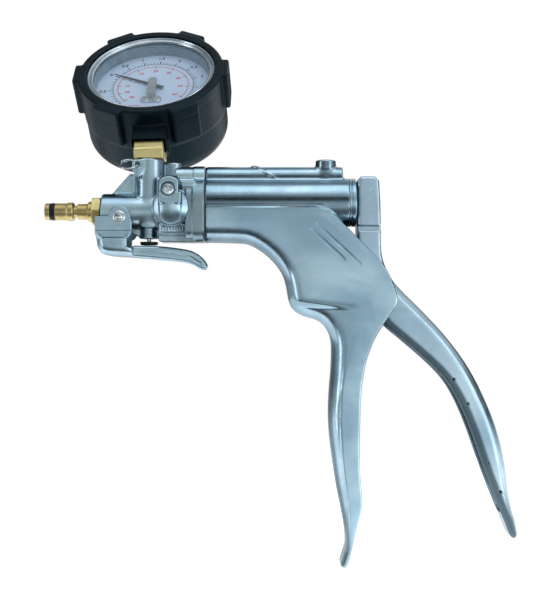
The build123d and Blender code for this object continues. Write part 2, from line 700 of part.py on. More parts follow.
with BuildPart() as release_plunger:
    with BuildSketch(Plane.XY.offset(-14.7)):
        with Locations((boss_x, 0)):
            Circle(1.0)
    extrude(amount=7.7)
    with BuildSketch(Plane.XY.offset(-11.0)):
        with Locations((boss_x, 0)):
            Circle(1.9)
    extrude(amount=1.0)
release_plunger.part.label = "release_plunger"
export_step(release_plunger.part, "parts/release_plunger.step")

with BuildPart() as release_pad:
    with BuildSketch(Plane.XY.offset(-16.2)):
        with Locations((boss_x, 0)):
            Circle(4.3)
    extrude(amount=1.5)
    chamfer(release_pad.edges().filter_by_position(Axis.Z, -16.3, -16.1), 0.5)
release_pad.part.label = "release_pad"
export_step(release_pad.part, "parts/release_pad.step")

with BuildPart() as release_spring:
    with BuildLine() as coil2:
        Helix(pitch=1.0, height=4.8, radius=1.6, center=(boss_x, 0, -9.6))
    with BuildSketch(Plane(origin=coil2.line @ 0, z_dir=coil2.line % 0)):
        Circle(0.2)
    sweep(is_frenet=True)
release_spring.part.label = "release_spring"
export_step(release_spring.part, "parts/release_spring.step")

# ---------------------------------------------------------------- wire ring in the eye beside the column
ring_c = (eye_x - ring_r, eye_y, eye_z)
ring_plane = Plane(origin=ring_c, x_dir=(1, 0, 0), z_dir=(0, -0.5736, 0.8192))
with BuildPart() as wire_ring:
    with BuildSketch(Plane(origin=ring_plane.origin + ring_plane.x_dir * ring_r, x_dir=ring_plane.x_dir, z_dir=ring_plane.y_dir)):
        Circle(0.4)
    revolve(axis=Axis(ring_plane.origin, ring_plane.z_dir))
wire_ring.part.label = "wire_ring"
export_step(wire_ring.part, "parts/wire_ring.step")

# ---------------------------------------------------------------- gauge stem: brass elbow, square, threaded shank and socket block
stem_plane = Plane(origin=bend, x_dir=stem_x, z_dir=stem_dir)
with BuildPart() as gauge_stem:
    with BuildSketch(stem_plane.offset(-12.0)):
        Rectangle(sq, sq)
    extrude(amount=12.0 + g_off - case_r + 2.0)
    with BuildSketch(Plane.XY.offset(col_top)):
        with Locations((col_x, -3.5)):
            Rectangle(40, 21)
    extrude(amount=-30.0, mode=Mode.SUBTRACT)
    # front of the elbow is trimmed upright
    with BuildSketch(Plane.XZ.offset(7.0)):
        with Locations((col_x, 28.0)):
            Rectangle(40, 60)
    extrude(amount=20.0, mode=Mode.SUBTRACT)
    with BuildSketch(Plane.XY.offset(col_top)):
        with Locations((col_x, 0)):
            Rectangle(40, 60)
    extrude(amount=-30.0, mode=Mode.SUBTRACT)
    # shank in the column
    with BuildSketch(Plane.XY.offset(13.2)):
        with Locations((col_x, 0)):
            Circle(4.7)
    extrude(amount=col_top - 13.2 + 1.0)
    # neck and socket block inside the case
    with BuildSketch(stem_plane.offset(g_off - case_r)):
        Rectangle(11.0, 10.0)
    extrude(amount=case_r - 17.2)
    # air way
    with BuildSketch(Plane.XY.offset(13.0)):
        with Locations((col_x, 0)):
            Circle(1.2)
    extrude(amount=14.0, mode=Mode.SUBTRACT)
    with BuildSketch(stem_plane.offset(-0.5)):
        Circle(1.2)
    extrude(amount=24.0, mode=Mode.SUBTRACT)
gauge_stem.part.label = "gauge_stem"
export_step(gauge_stem.part, "parts/gauge_stem.step")

# ---------------------------------------------------------------- gauge case, boot, bezel, window
with BuildPart() as gauge_case:
    with BuildSketch(gauge.offset(-18.4)):
        Circle(case_r)
    extrude(amount=28.4)
    with BuildSketch(gauge.offset(-17.2)):
        Circle(case_r - 1.2)
    extrude(amount=28.0, mode=Mode.SUBTRACT)
    with BuildSketch(stem_plane.offset(g_off - case_r - 4.0)):
        Rectangle(sq + 0.2, sq + 0.2)
    extrude(amount=8.0, mode=Mode.SUBTRACT)
gauge_case.part.label = "gauge_case"
export_step(gauge_case.part, "parts/gauge_case.step")

with BuildPart() as gauge_boot:
    with BuildSketch(gauge.offset(-boot_back)):
        Circle(boot_r)
    extrude(amount=boot_back + boot_front)
    with BuildSketch(gauge.offset(-lug_back)):
        with PolarLocations(38.0, 6):
            Rectangle(2 * (lug_r - 38.0), 15.0)
    extrude(amount=lug_back + boot_front)
    fillet(gauge_boot.edges().filter_by(GeomType.CIRCLE).filter_by(lambda e: e.radius > 36 and (e.center() - gc).dot(gn) < -26), 10.0)
    # collar round the stem
    with BuildSketch(stem_plane.offset(-5.0)):
        Rectangle(sq + 4.4, sq + 4.4)
    extrude(amount=22.0)
    with BuildSketch(Plane.XZ.offset(7.25)):
        with Locations((col_x, 28.0)):
            Rectangle(60, 60)
    extrude(amount=6.0, mode=Mode.SUBTRACT)
    with BuildSketch(Plane.XY.offset(29.0)):
        with Locations((col_x, 0)):
            Rectangle(60, 18)
    extrude(amount=-30.0, mode=Mode.SUBTRACT)
    # inside
    with BuildSketch(gauge.offset(-18.5)):
        Circle(case_r + 0.15)
    extrude(amount=34.9, mode=Mode.SUBTRACT)
    with BuildSketch(gauge.offset(10.0)):
        Circle(32.3)
    extrude(amount=10.0, mode=Mode.SUBTRACT)
    with BuildSketch(gauge.offset(-30.0)):
        Circle(22.0)
    extrude(amount=13.0, mode=Mode.SUBTRACT)
    with BuildSketch(stem_plane.offset(-14.0)):
        Rectangle(sq + 0.1, sq + 0.1)
    extrude(amount=32.0, mode=Mode.SUBTRACT)
gauge_boot.part.label = "gauge_boot"
export_step(gauge_boot.part, "parts/gauge_boot.step")

with BuildPart() as gauge_bezel:
    with BuildSketch(Plane(origin=gc, x_dir=gx, z_dir=-gy)):
        with BuildLine():
            Polyline((29.4, 14.6), (29.4, 15.2), (30.3, 15.6), (30.9, 16.0), (32.1, 16.1), (32.9, 15.6), (33.0, 14.4),
                     (33.0, 10.1), (30.9, 10.1), (30.9, 14.6), close=True)
        make_face()
    revolve(axis=Axis(gc, gn))
gauge_bezel.part.label = "gauge_bezel"
export_step(gauge_bezel.part, "parts/gauge_bezel.step")

with BuildPart() as gauge_window:
    with BuildSketch(gauge.offset(13.0)):
        Circle(30.7)
    extrude(amount=1.5)
gauge_window.part.label = "gauge_window"
export_step(gauge_window.part, "parts/gauge_window.step")

with BuildPart() as window_gasket:
    with BuildSketch(gauge.offset(7.3)):
        Circle(30.7)
        Circle(29.1, mode=Mode.SUBTRACT)
    extrude(amount=5.6)
window_gasket.part.label = "window_gasket"
export_step(window_gasket.part, "parts/window_gasket.step")

with BuildPart() as gauge_dial:
    with BuildSketch(gauge.offset(dial_h)):
        Circle(30.6)
        Circle(1.3, mode=Mode.SUBTRACT)
        with Locations((-3.0, -12.5), (3.0, -12.5)):
            Circle(0.8, mode=Mode.SUBTRACT)
    extrude(amount=0.7)
gauge_dial.part.label = "gauge_dial"
export_step(gauge_dial.part, "parts/gauge_dial.step")

# ---------------------------------------------------------------- gauge movement
with BuildPart() as movement_frame:
    # foot on the socket block, two plates, posts
    with BuildSketch(gauge.offset(-4.2)):
        with Locations((0, -15.9)):
            Rectangle(11.0, 1.8)
    extrude(amount=8.4)
    with BuildSketch(gauge.offset(-4.2)):
        with Locations((0, -0.2)):
            Rectangle(13.0, 31.0)
    extrude(amount=1.0)
    with BuildSketch(gauge.offset(3.2)):
        with Locations((0, -0.2)):
            Rectangle(13.0, 31.0)
    extrude(amount=1.0)
    with BuildSketch(gauge.offset(-3.4)):
        with Locations((5.2, -9.5), (-5.2, -9.5)):
            Circle(1.1)
    extrude(amount=7.0)
    with BuildSketch(gauge.offset(4.0)):
        with Locations((-3.0, -12.5), (3.0, -12.5)):
            Circle(1.6)
    extrude(amount=dial_h - 4.0)
    with BuildSketch(gauge.offset(-6.0)):
        Circle(0.65)
        with Locations((0, sector_y)):
            Circle(0.85)
    extrude(amount=14.0, mode=Mode.SUBTRACT)
    with BuildSketch(gauge.offset(3.0)):
        with Locations((-3.0, -12.5), (3.0, -12.5)):
            Circle(0.7)
    extrude(amount=6.0, mode=Mode.SUBTRACT)
movement_frame.part.label = "movement_frame"
export_step(movement_frame.part, "parts/movement_frame.step")

with BuildPart() as movement_bracket:
    # foot on the dial and a raised bridge over the pointer's pivot
    with BuildSketch(gauge.offset(dial_h + 0.7)):
        with Locations((0, -12.5)):
            RectangleRounded(10.4, 4.4, 1.4)
    extrude(amount=0.7)
    with BuildSketch(gauge.offset(dial_h + 0.7)):
        with Locations((0, -9.6)):
            Rectangle(4.4, 1.6)
    extrude(amount=3.1)
    with BuildSketch(gauge.offset(dial_h + 2.9)):
        with Locations((0, -4.2)):
            Rectangle(4.4, 12.4)
        with Locations((0, 1.6)):
            Circle(2.2)
    extrude(amount=0.9)
    with BuildSketch(gauge.offset(dial_h)):
        Circle(0.65)
        with Locations((-3.0, -12.5), (3.0, -12.5)):
            Circle(0.75)
    extrude(amount=6.0, mode=Mode.SUBTRACT)
movement_bracket.part.label = "movement_bracket"
export_step(movement_bracket.part, "parts/movement_bracket.step")

with BuildPart() as dial_screws:
    with BuildSketch(gauge.offset(4.4)):
        with Locations((-3.0, -12.5), (3.0, -12.5)):
            Circle(0.7)
    extrude(amount=dial_h + 1.4 - 4.4)
    with BuildSketch(gauge.offset(dial_h + 1.4)):
        with Locations((-3.0, -12.5), (3.0, -12.5)):
            Circle(1.7)
    extrude(amount=0.9)
    with BuildSketch(gauge.offset(dial_h + 2.3)):
        with Locations((-3.0, -12.5), (3.0, -12.5)):
            Rectangle(3.6, 0.4)
    extrude(amount=-0.4, mode=Mode.SUBTRACT)
dial_screws.part.label = "dial_screws"
export_step(dial_screws.part, "parts/dial_screws.step")

with BuildPart() as bourdon_tube:
    with BuildSketch(Plane(origin=gc, x_dir=gx * cos(radians(284)) + gy * sin(radians(284)), z_dir=(gx * cos(radians(284)) + gy * sin(radians(284))).cross(gn) * -1)):
        with Locations((22.5, 0)):
            Rectangle(2.2, 6.0)
    revolve(axis=Axis(gc, gn), revolution_arc=245)
bourdon_tube.part.label = "bourdon_tube"
export_step(bourdon_tube.part, "parts/bourdon_tube.step")

with BuildPart() as gauge_pointer:
    tip = Vector(cos(radians(pointer_deg)), sin(radians(pointer_deg)))
    side = Vector(-sin(radians(pointer_deg)), cos(radians(pointer_deg)))
    with BuildSketch(gauge.offset(dial_h + 1.5)):
        with BuildLine():
            Polyline(tuple(tip * -6.0 + side * 0.9)[:2], tuple(tip * 17.5 + side * 0.42)[:2], tuple(tip * 24.0)[:2],
                     tuple(tip * 17.5 - side * 0.42)[:2], tuple(tip * -6.0 - side * 0.9)[:2], close=True)
        make_face()
        Circle(1.7)
        Circle(0.6, mode=Mode.SUBTRACT)
    extrude(amount=0.5)
gauge_pointer.part.label = "gauge_pointer"
export_step(gauge_pointer.part, "parts/gauge_pointer.step")

with BuildPart() as pointer_arbor:
    with BuildSketch(gauge.offset(-4.0)):
        Circle(0.6)
    extrude(amount=dial_h + 3.7 + 4.0)
    with BuildSketch(gauge.offset(-1.2)):
        Circle(pinion_r - 0.95 * tooth_mod)
        with PolarLocations(pinion_r - 0.15 * tooth_mod, pinion_n, start_angle=90):
            Trapezoid(0.58, 2.0 * tooth_mod, 76, rotation=-90)
    extrude(amount=2.4)
pointer_arbor.part.label = "pointer_arbor"
export_step(pointer_arbor.part, "parts/pointer_arbor.step")

with BuildPart() as sector_gear:
    tooth_step = 360 / (pinion_n * sector_ratio)
    root = sector_r - 0.95 * tooth_mod
    with BuildSketch(gauge.offset(-0.9)):
        with BuildLine():
            Line((0, sector_y), (root * cos(radians(-138)), sector_y + root * sin(radians(-138))))
            ThreePointArc((root * cos(radians(-138)), sector_y + root * sin(radians(-138))),
                          (root * cos(radians(-105)), sector_y + root * sin(radians(-105))),
                          (root * cos(radians(-72)), sector_y + root * sin(radians(-72))))
            Line((root * cos(radians(-72)), sector_y + root * sin(radians(-72))), (0, sector_y))
        make_face()
        with Locations((0, sector_y)):
            Circle(2.2)
        with Locations((0, sector_y)):
            with PolarLocations(sector_r - 0.15 * tooth_mod, 11, start_angle=-135, angular_range=11 * tooth_step):
                Trapezoid(0.58, 2.0 * tooth_mod, 76, rotation=-90)
    extrude(amount=1.8)
    with BuildSketch(gauge.offset(-4.0)):
        with Locations((0, sector_y)):
            Circle(0.8)
    extrude(amount=8.0)
sector_gear.part.label = "sector_gear"
export_step(sector_gear.part, "parts/sector_gear.step")
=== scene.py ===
import bpy
import bmesh
import math
import numpy as np
from mathutils import Matrix, Vector


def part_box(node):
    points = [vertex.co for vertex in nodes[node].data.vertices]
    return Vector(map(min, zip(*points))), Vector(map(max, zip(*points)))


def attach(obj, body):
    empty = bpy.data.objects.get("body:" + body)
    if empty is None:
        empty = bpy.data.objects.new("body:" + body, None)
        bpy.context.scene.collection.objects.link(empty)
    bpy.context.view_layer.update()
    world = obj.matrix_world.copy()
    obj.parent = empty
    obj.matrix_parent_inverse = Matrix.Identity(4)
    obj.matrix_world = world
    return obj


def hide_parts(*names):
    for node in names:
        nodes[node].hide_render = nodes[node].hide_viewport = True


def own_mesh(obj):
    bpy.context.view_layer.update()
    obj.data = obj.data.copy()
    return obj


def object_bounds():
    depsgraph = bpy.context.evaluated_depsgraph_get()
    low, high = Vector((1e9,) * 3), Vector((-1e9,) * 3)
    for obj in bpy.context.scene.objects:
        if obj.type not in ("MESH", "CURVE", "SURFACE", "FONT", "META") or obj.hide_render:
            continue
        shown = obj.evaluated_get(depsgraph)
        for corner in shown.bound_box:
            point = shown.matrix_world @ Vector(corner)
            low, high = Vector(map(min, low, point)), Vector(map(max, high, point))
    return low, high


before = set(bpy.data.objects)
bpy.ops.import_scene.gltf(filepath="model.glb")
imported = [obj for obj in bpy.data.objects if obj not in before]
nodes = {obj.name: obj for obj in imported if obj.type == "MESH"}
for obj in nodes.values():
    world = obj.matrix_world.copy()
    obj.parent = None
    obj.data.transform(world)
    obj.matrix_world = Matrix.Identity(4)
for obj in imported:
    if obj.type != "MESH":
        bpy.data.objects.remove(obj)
cad_lo, cad_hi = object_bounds()
MM = 0.001

# =====================================================================================================
# distance-field modelling: shapes are signed distances in millimetres, meshed as smooth quads
# =====================================================================================================


def mag(a, b):
    return np.sqrt(a * a + b * b)


def rmax(a, b, r):
    """intersection with a rounded convex edge"""
    return np.minimum(np.maximum(a, b), -r) + mag(np.maximum(a + r, 0), np.maximum(b + r, 0))


def rmin(a, b, r):
    """union with a filleted inner corner"""
    return np.maximum(np.minimum(a, b), r) - mag(np.maximum(r - a, 0), np.maximum(r - b, 0))


def cut(a, b, r=0.2):
    """a without b, with a rounded edge"""
    return rmax(a, -b, r)


def slab(v, lo, hi):
    return np.maximum(lo - v, v - hi)


def sstep(t):
    t = np.clip(t, 0.0, 1.0)
    return t * t * (3 - 2 * t)


def rod(u, v, w, u0, u1, cv, cw, r, e=0.3):
    """cylinder along u"""
    return rmax(mag(v - cv, w - cw) - r, slab(u, u0, u1), e)


def block(x, y, z, lo, hi, e=0.4):
    q = [np.abs(c - (l + h) / 2) - ((h - l) / 2 - e) for c, l, h in zip((x, y, z), lo, hi)]
    out = np.sqrt(np.maximum(q[0], 0) ** 2 + np.maximum(q[1], 0) ** 2 + np.maximum(q[2], 0) ** 2)
    return out + np.minimum(np.maximum(np.maximum(q[0], q[1]), q[2]), 0) - e


def ball(x, y, z, c, r, s=(1, 1, 1)):
    k = np.sqrt(((x - c[0]) / s[0]) ** 2 + ((y - c[1]) / s[1]) ** 2 + ((z - c[2]) / s[2]) ** 2)
    return (k - r) * min(s)


def capsule(x, y, z, a, b, r):
    ax, ay, az = a
    bx, by, bz = b[0] - ax, b[1] - ay, b[2] - az
    px, py, pz = x - ax, y - ay, z - az
    t = np.clip((px * bx + py * by + pz * bz) / (bx * bx + by * by + bz * bz), 0, 1)
    return np.sqrt((px - bx * t) ** 2 + (py - by * t) ** 2 + (pz - bz * t) ** 2) - r


def smooth(pts, k=5):
    """open Catmull-Rom curve through the points"""
    p = np.array(pts, float)
    p = np.vstack([2 * p[0] - p[1], p, 2 * p[-1] - p[-2]])
    out = []
    for i in range(1, len(p) - 2):
        for j in range(k):
            t = j / k
            out.append(0.5 * ((2 * p[i]) + (-p[i - 1] + p[i + 1]) * t + (2 * p[i - 1] - 5 * p[i] + 4 * p[i + 1] - p[i + 2]) * t * t
                              + (-p[i - 1] + 3 * p[i] - 3 * p[i + 1] + p[i + 2]) * t ** 3))
    out.append(p[-2])
    return [tuple(q) for q in out]


class Outline:
    """signed distance to a closed outline, or plain distance to an open one, from a fine map"""

    def __init__(self, pts, closed=True, step=0.3, pad=9.0):
        p = np.array(pts, np.float64)
        self.lo = p.min(0) - pad
        n = np.ceil((p.max(0) + pad - self.lo) / step).astype(int) + 1
        self.step = step
        u = self.lo[0] + step * np.arange(n[0])[:, None]
        v = self.lo[1] + step * np.arange(n[1])[None, :]
        d = np.full((n[0], n[1]), 1e9)
        inside = np.zeros((n[0], n[1]), bool)
        a = p
        b = np.roll(p, -1, 0)
        if not closed:
            a, b = p[:-1], p[1:]
        for (ax, ay), (bx, by) in zip(a, b):
            ex, ey = bx - ax, by - ay
            l2 = ex * ex + ey * ey
            if l2 < 1e-12:
                continue
            t = np.clip(((u - ax) * ex + (v - ay) * ey) / l2, 0, 1)
            d = np.minimum(d, (u - ax - ex * t) ** 2 + (v - ay - ey * t) ** 2)
            if closed and ay != by:
                cross = (v > min(ay, by)) & (v <= max(ay, by))
                xi = ax + (v - ay) * ex / ey
                inside ^= cross & (u < xi)
        d = np.sqrt(d)
        if closed:
            d = np.where(inside, -d, d)
        self.map = d.astype(np.float32)

    def __call__(self, u, v):
        fu = (u - self.lo[0]) / self.step
        fv = (v - self.lo[1]) / self.step
        nu, nv = self.map.shape
        fu = np.clip(fu, 0, nu - 1.001)
        fv = np.clip(fv, 0, nv - 1.001)
        iu = fu.astype(np.int32)
        iv = fv.astype(np.int32)
        tu = (fu - iu).astype(np.float32)
        tv = (fv - iv).astype(np.float32)
        m = self.map
        return (m[iu, iv] * (1 - tu) * (1 - tv) + m[iu + 1, iv] * tu * (1 - tv)
                + m[iu, iv + 1] * (1 - tu) * tv + m[iu + 1, iv + 1] * tu * tv)


CORNERS = np.array([(i, j, k) for i in (0, 1) for j in (0, 1) for k in (0, 1)])
EDGES = [(a, b) for a in range(8) for b in range(a + 1, 8) if np.abs(CORNERS[a] - CORNERS[b]).sum() == 1]


def nets(f, lo, hi, h):
    """surface nets: one vertex in each cell that the surface crosses, one quad for each crossed grid edge"""
    ax = [np.arange(l - 1.5 * h, u + 2.5 * h, h, dtype=np.float32) for l, u in zip(lo, hi)]
    F = np.broadcast_to(f(ax[0][:, None, None], ax[1][None, :, None], ax[2][None, None, :]),
                        (len(ax[0]), len(ax[1]), len(ax[2]))).astype(np.float32)
    S = F < 0
    n = S.shape
    c = np.zeros((n[0] - 1, n[1] - 1, n[2] - 1), np.int8)
    for i, j, k in CORNERS:
        c += S[i:n[0] - 1 + i, j:n[1] - 1 + j, k:n[2] - 1 + k]
    act = np.argwhere((c > 0) & (c < 8))
    idx = np.full(c.shape, -1, np.int64)
    idx[act[:, 0], act[:, 1], act[:, 2]] = np.arange(len(act))
    val = np.stack([F[act[:, 0] + i, act[:, 1] + j, act[:, 2] + k] for i, j, k in CORNERS], 1)
    acc = np.zeros((len(act), 3))
    cnt = np.zeros(len(act))
    for a, b in EDGES:
        va, vb = val[:, a], val[:, b]
        m = (va < 0) != (vb < 0)
        t = np.where(m, va / np.where(m, va - vb, 1), 0)
        acc += np.where(m[:, None], CORNERS[a] + t[:, None] * (CORNERS[b] - CORNERS[a]), 0)
        cnt += m
    V = act + acc / cnt[:, None]
    V = V * h + np.array([ax[0][0], ax[1][0], ax[2][0]], float)
    quads = []
    for d in range(3):
        e1, e2 = [(1, 2), (2, 0), (0, 1)][d]
        sl0 = [slice(1, -1)] * 3
        sl1 = [slice(1, -1)] * 3
        sl0[d] = slice(0, n[d] - 1)
        sl1[d] = slice(1, n[d])
        A, B = S[tuple(sl0)], S[tuple(sl1)]
        w = np.argwhere(A != B)
        off = np.array([1, 1, 1])
        off[d] = 0
        w = w + off
        neg = S[w[:, 0], w[:, 1], w[:, 2]]
        u1 = np.zeros(3, int)
        u2 = np.zeros(3, int)
        u1[e1] = 1
        u2[e2] = 1
        q = [idx[tuple((w - s).T)] for s in (u1 + u2, u2, np.zeros(3, int), u1)]
        q = np.stack(q, 1)
        q[~neg] = q[~neg][:, ::-1]
        quads.append(q)
    return V, np.concatenate(quads)


def grad(f, V, e=0.04):
    g = np.empty_like(V)
    for i in range(3):
        a = V.copy()
        b = V.copy()
        a[:, i] += e
        b[:, i] -= e
        g[:, i] = (f(a[:, 0], a[:, 1], a[:, 2]) - f(b[:, 0], b[:, 1], b[:, 2])) / (2 * e)
    return g


def settle(f, V, Q, h, rounds=2):
    """relax the quads along the surface and pull every vertex back onto it"""
    n = len(V)
    e = np.concatenate([Q[:, [0, 1]], Q[:, [1, 2]], Q[:, [2, 3]], Q[:, [3, 0]]])
    for r in range(rounds):
        acc = np.stack([np.bincount(e[:, 0], V[e[:, 1], i], n) + np.bincount(e[:, 1], V[e[:, 0], i], n) for i in range(3)], 1)
        cnt = np.bincount(e[:, 0], minlength=n) + np.bincount(e[:, 1], minlength=n)
        V = V + 0.45 * (acc / cnt[:, None] - V)
        for _ in range(2):
            d = f(V[:, 0], V[:, 1], V[:, 2])
            g = grad(f, V)
            g2 = np.maximum((g * g).sum(1), 0.25)
            step = (d / g2)[:, None] * g
            l = np.sqrt((step * step).sum(1))
            step *= np.minimum(1, 0.6 * h / np.maximum(l, 1e-9))[:, None]
            V = V - step
    return V


def make(name, V, Q, mat, body, replaces=(), M=None, smooth_shade=True):
    me = bpy.data.meshes.new(name)
    V = np.asarray(V, float)
    if M is not None:
        V = V @ np.array(M.to_3x3()).T + np.array(M.translation)
    me.from_pydata((V * MM).tolist(), [], Q.tolist() if isinstance(Q, np.ndarray) else Q)
    me.validate()
    me.update()
    if smooth_shade:
        me.polygons.foreach_set("use_smooth", [True] * len(me.polygons))
    me.materials.append(mat)
    o = bpy.data.objects.new(name, me)
    bpy.context.scene.collection.objects.link(o)
    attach(o, body)
    if replaces:
        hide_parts(*replaces)
    return o


def solid(name, f, lo, hi, h, mat, body, replaces=(), M=None, rounds=2, skin_and_shade=None):
    V, Q = nets(f, lo, hi, h)
    V = settle(f, V, Q, h, rounds)
    o = make(name, V, Q, mat, body, replaces, M)
    # per-vertex mask of painted shade, which the zinc material also uses to roughen the unpolished cast skin
    if skin_and_shade is not None and len(o.data.vertices) == len(V):
        at = o.data.attributes.new("skin_and_shade", "FLOAT", "POINT")
        at.data.foreach_set("value", np.clip(skin_and_shade(V[:, 0], V[:, 1], V[:, 2]), 0, 1).astype(np.float32))
    return o


# ---- turned pieces and wires ------------------------------------------------------------------------
def soften(profile, r, n=4):
    """rounds every corner of a closed profile and holds the flats with extra points"""
    p = [np.array(q, float) for q in profile]
    out = []
    for i in range(len(p)):
        a, b, c = p[i - 1], p[i], p[(i + 1) % len(p)]
        la, lc = np.linalg.norm(a - b), np.linalg.norm(c - b)
        k = min(r, 0.42 * la, 0.42 * lc)
        ua, uc = (a - b) / la, (c - b) / lc
        s, t = b + ua * k, b + uc * k
        if la > 5 * k:
            out.append(tuple(b + ua * k * 1.35))
        for j in range(n + 1):
            w = j / n
            out.append(tuple((1 - w) ** 2 * s + 2 * w * (1 - w) * b + w ** 2 * t))
        if lc > 5 * k:
            out.append(tuple(b + uc * k * 1.35))
    return out


def turned(name, profile, origin, axis, ref, mat, body, replaces=(), seg=128, r=0.15):
    """closed profile of (along, radius) pairs turned about axis; a closed ring if no point is on the axis"""
    pr = soften(profile, r) if r else profile
    axis = Vector(axis).normalized()
    e1 = Vector(ref).normalized()
    e1 = (e1 - axis * e1.dot(axis)).normalized()
    e2 = axis.cross(e1)
    V, Q = [], []
    n = len(pr)
    for s in range(seg):
        a = 2 * math.pi * s / seg
        d = e1 * math.cos(a) + e2 * math.sin(a)
        for t, rad in pr:
            V.append(tuple(Vector(origin) + axis * t + d * max(rad, 0.0005)))
    for s in range(seg):
        for i in range(n):
            a, b = s * n + i, s * n + (i + 1) % n
            c, d = ((s + 1) % seg) * n + (i + 1) % n, ((s + 1) % seg) * n + i
            Q.append((a, d, c, b))
    o = make(name, V, Q, mat, body, replaces)
    bm = bmesh.new()
    bm.from_mesh(o.data)
    bmesh.ops.remove_doubles(bm, verts=bm.verts, dist=2e-6)
    bmesh.ops.dissolve_degenerate(bm, edges=bm.edges, dist=1e-7)
    bmesh.ops.recalc_face_normals(bm, faces=bm.faces)
    bm.to_mesh(o.data)
    bm.free()
    return o


def wire(name, path, r, mat, body, replaces=(), seg=20):
    P = [Vector(p) for p in path]
    T = [(P[min(i + 1, len(P) - 1)] - P[max(i - 1, 0)]).normalized() for i in range(len(P))]
    side = T[0].orthogonal().normalized()
    rings = []
    frames = []
    for i, (p, t) in enumerate(zip(P, T)):
        side = (side - t * side.dot(t)).normalized()
        frames.append((p, t, side, t.cross(side)))
    cap = [(-1 + math.cos(math.pi / 2 * k / 4), math.sin(math.pi / 2 * k / 4)) for k in range(1, 4)]
    p, t, s, u = frames[0]
    for k in range(1, 5):
        a = math.pi / 2 * k / 4
        rings.append((p - t * r * math.cos(a), s, u, r * math.sin(a)))
    for p, t, s, u in frames[1:-1]:
        rings.append((p, s, u, r))
    p, t, s, u = frames[-1]
    for k in range(4, 0, -1):
        a = math.pi / 2 * k / 4
        rings.append((p + t * r * math.cos(a), s, u, r * math.sin(a)))
    V, Q = [], []
    for p, s, u, rad in rings:
        for j in range(seg):
            a = 2 * math.pi * j / seg
            V.append(tuple(p + s * rad * math.cos(a) + u * rad * math.sin(a)))
    m = len(rings)
    for i in range(m - 1):
        for j in range(seg):
            a, b = i * seg + j, i * seg + (j + 1) % seg
            Q.append((a, b, b + seg, a + seg))
    Q.append(tuple(reversed(range(seg))))
    Q.append(tuple(range((m - 1) * seg, m * seg)))
    return make(name, V, Q, mat, body, replaces)


# =====================================================================================================
# materials
# =====================================================================================================
class Mat:
    def __init__(self, name):
        self.m = bpy.data.materials.new(name)
        self.m.use_nodes = True
        self.nt = self.m.node_tree
        self.nt.nodes.clear()
        self.out = self.nt.nodes.new("ShaderNodeOutputMaterial")
        self.b = self.nt.nodes.new("ShaderNodeBsdfPrincipled")
        self.nt.links.new(self.b.outputs[0], self.out.inputs[0])
        self.co = self.nt.nodes.new("ShaderNodeTexCoord").outputs["Object"]

    def link(self, a, b):
        self.nt.links.new(a, b)

    def mapping(self, scale=(1, 1, 1), rot=(0, 0, 0)):
        n = self.nt.nodes.new("ShaderNodeMapping")
        n.inputs["Scale"].default_value = scale
        n.inputs["Rotation"].default_value = rot
        self.link(self.co, n.inputs[0])
        return n.outputs[0]

    def noise(self, scale, detail=3, rough=0.55, vec=None, dist=0.0):
        n = self.nt.nodes.new("ShaderNodeTexNoise")
        n.inputs["Scale"].default_value = scale
        n.inputs["Detail"].default_value = detail
        n.inputs["Roughness"].default_value = rough
        n.inputs["Distortion"].default_value = dist
        self.link(vec or self.co, n.inputs["Vector"])
        return n.outputs["Fac"]

    def voronoi(self, scale, vec=None, feature="F1"):
        n = self.nt.nodes.new("ShaderNodeTexVoronoi")
        n.feature = feature
        n.inputs["Scale"].default_value = scale
        self.link(vec or self.co, n.inputs["Vector"])
        return n.outputs["Distance"]

    def remap(self, v, a, b, c, d):
        n = self.nt.nodes.new("ShaderNodeMapRange")
        for i, x in zip((1, 2, 3, 4), (a, b, c, d)):
            n.inputs[i].default_value = x
        self.link(v, n.inputs[0])
        return n.outputs[0]

    def math(self, op, a, b=None):
        n = self.nt.nodes.new("ShaderNodeMath")
        n.operation = op
        for i, x in enumerate((a, b)):
            if x is None:
                continue
            if isinstance(x, (int, float)):
                n.inputs[i].default_value = x
            else:
                self.link(x, n.inputs[i])
        return n.outputs[0]

    def mix(self, fac, a, b):
        n = self.nt.nodes.new("ShaderNodeMix")
        n.data_type = "RGBA"
        if isinstance(fac, (int, float)):
            n.inputs[0].default_value = fac
        else:
            self.link(fac, n.inputs[0])
        for i, x in ((6, a), (7, b)):
            if isinstance(x, tuple):
                n.inputs[i].default_value = x + (1,) if len(x) == 3 else x
            else:
                self.link(x, n.inputs[i])
        return n.outputs[2]

    def attr(self, name):
        n = self.nt.nodes.new("ShaderNodeAttribute")
        n.attribute_name = name
        return n.outputs["Fac"]

    def pointiness(self):
        return self.nt.nodes.new("ShaderNodeNewGeometry").outputs["Pointiness"]

    def sep(self, v=None):
        n = self.nt.nodes.new("ShaderNodeSeparateXYZ")
        self.link(v or self.co, n.inputs[0])
        return n.outputs

    def bump(self, parts):
        """parts: (height output, distance in mm, strength)"""
        prev = None
        for h, dist, strength in parts:
            n = self.nt.nodes.new("ShaderNodeBump")
            n.inputs["Distance"].default_value = dist * MM
            n.inputs["Strength"].default_value = strength
            self.link(h, n.inputs["Height"])
            if prev is not None:
                self.link(prev, n.inputs["Normal"])
            prev = n.outputs[0]
        self.link(prev, self.b.inputs["Normal"])

    def set(self, **kw):
        for k, v in kw.items():
            s = self.b.inputs[k.replace("_", " ")]
            s.default_value = v + (1,) if isinstance(v, tuple) and len(v) == 3 else v


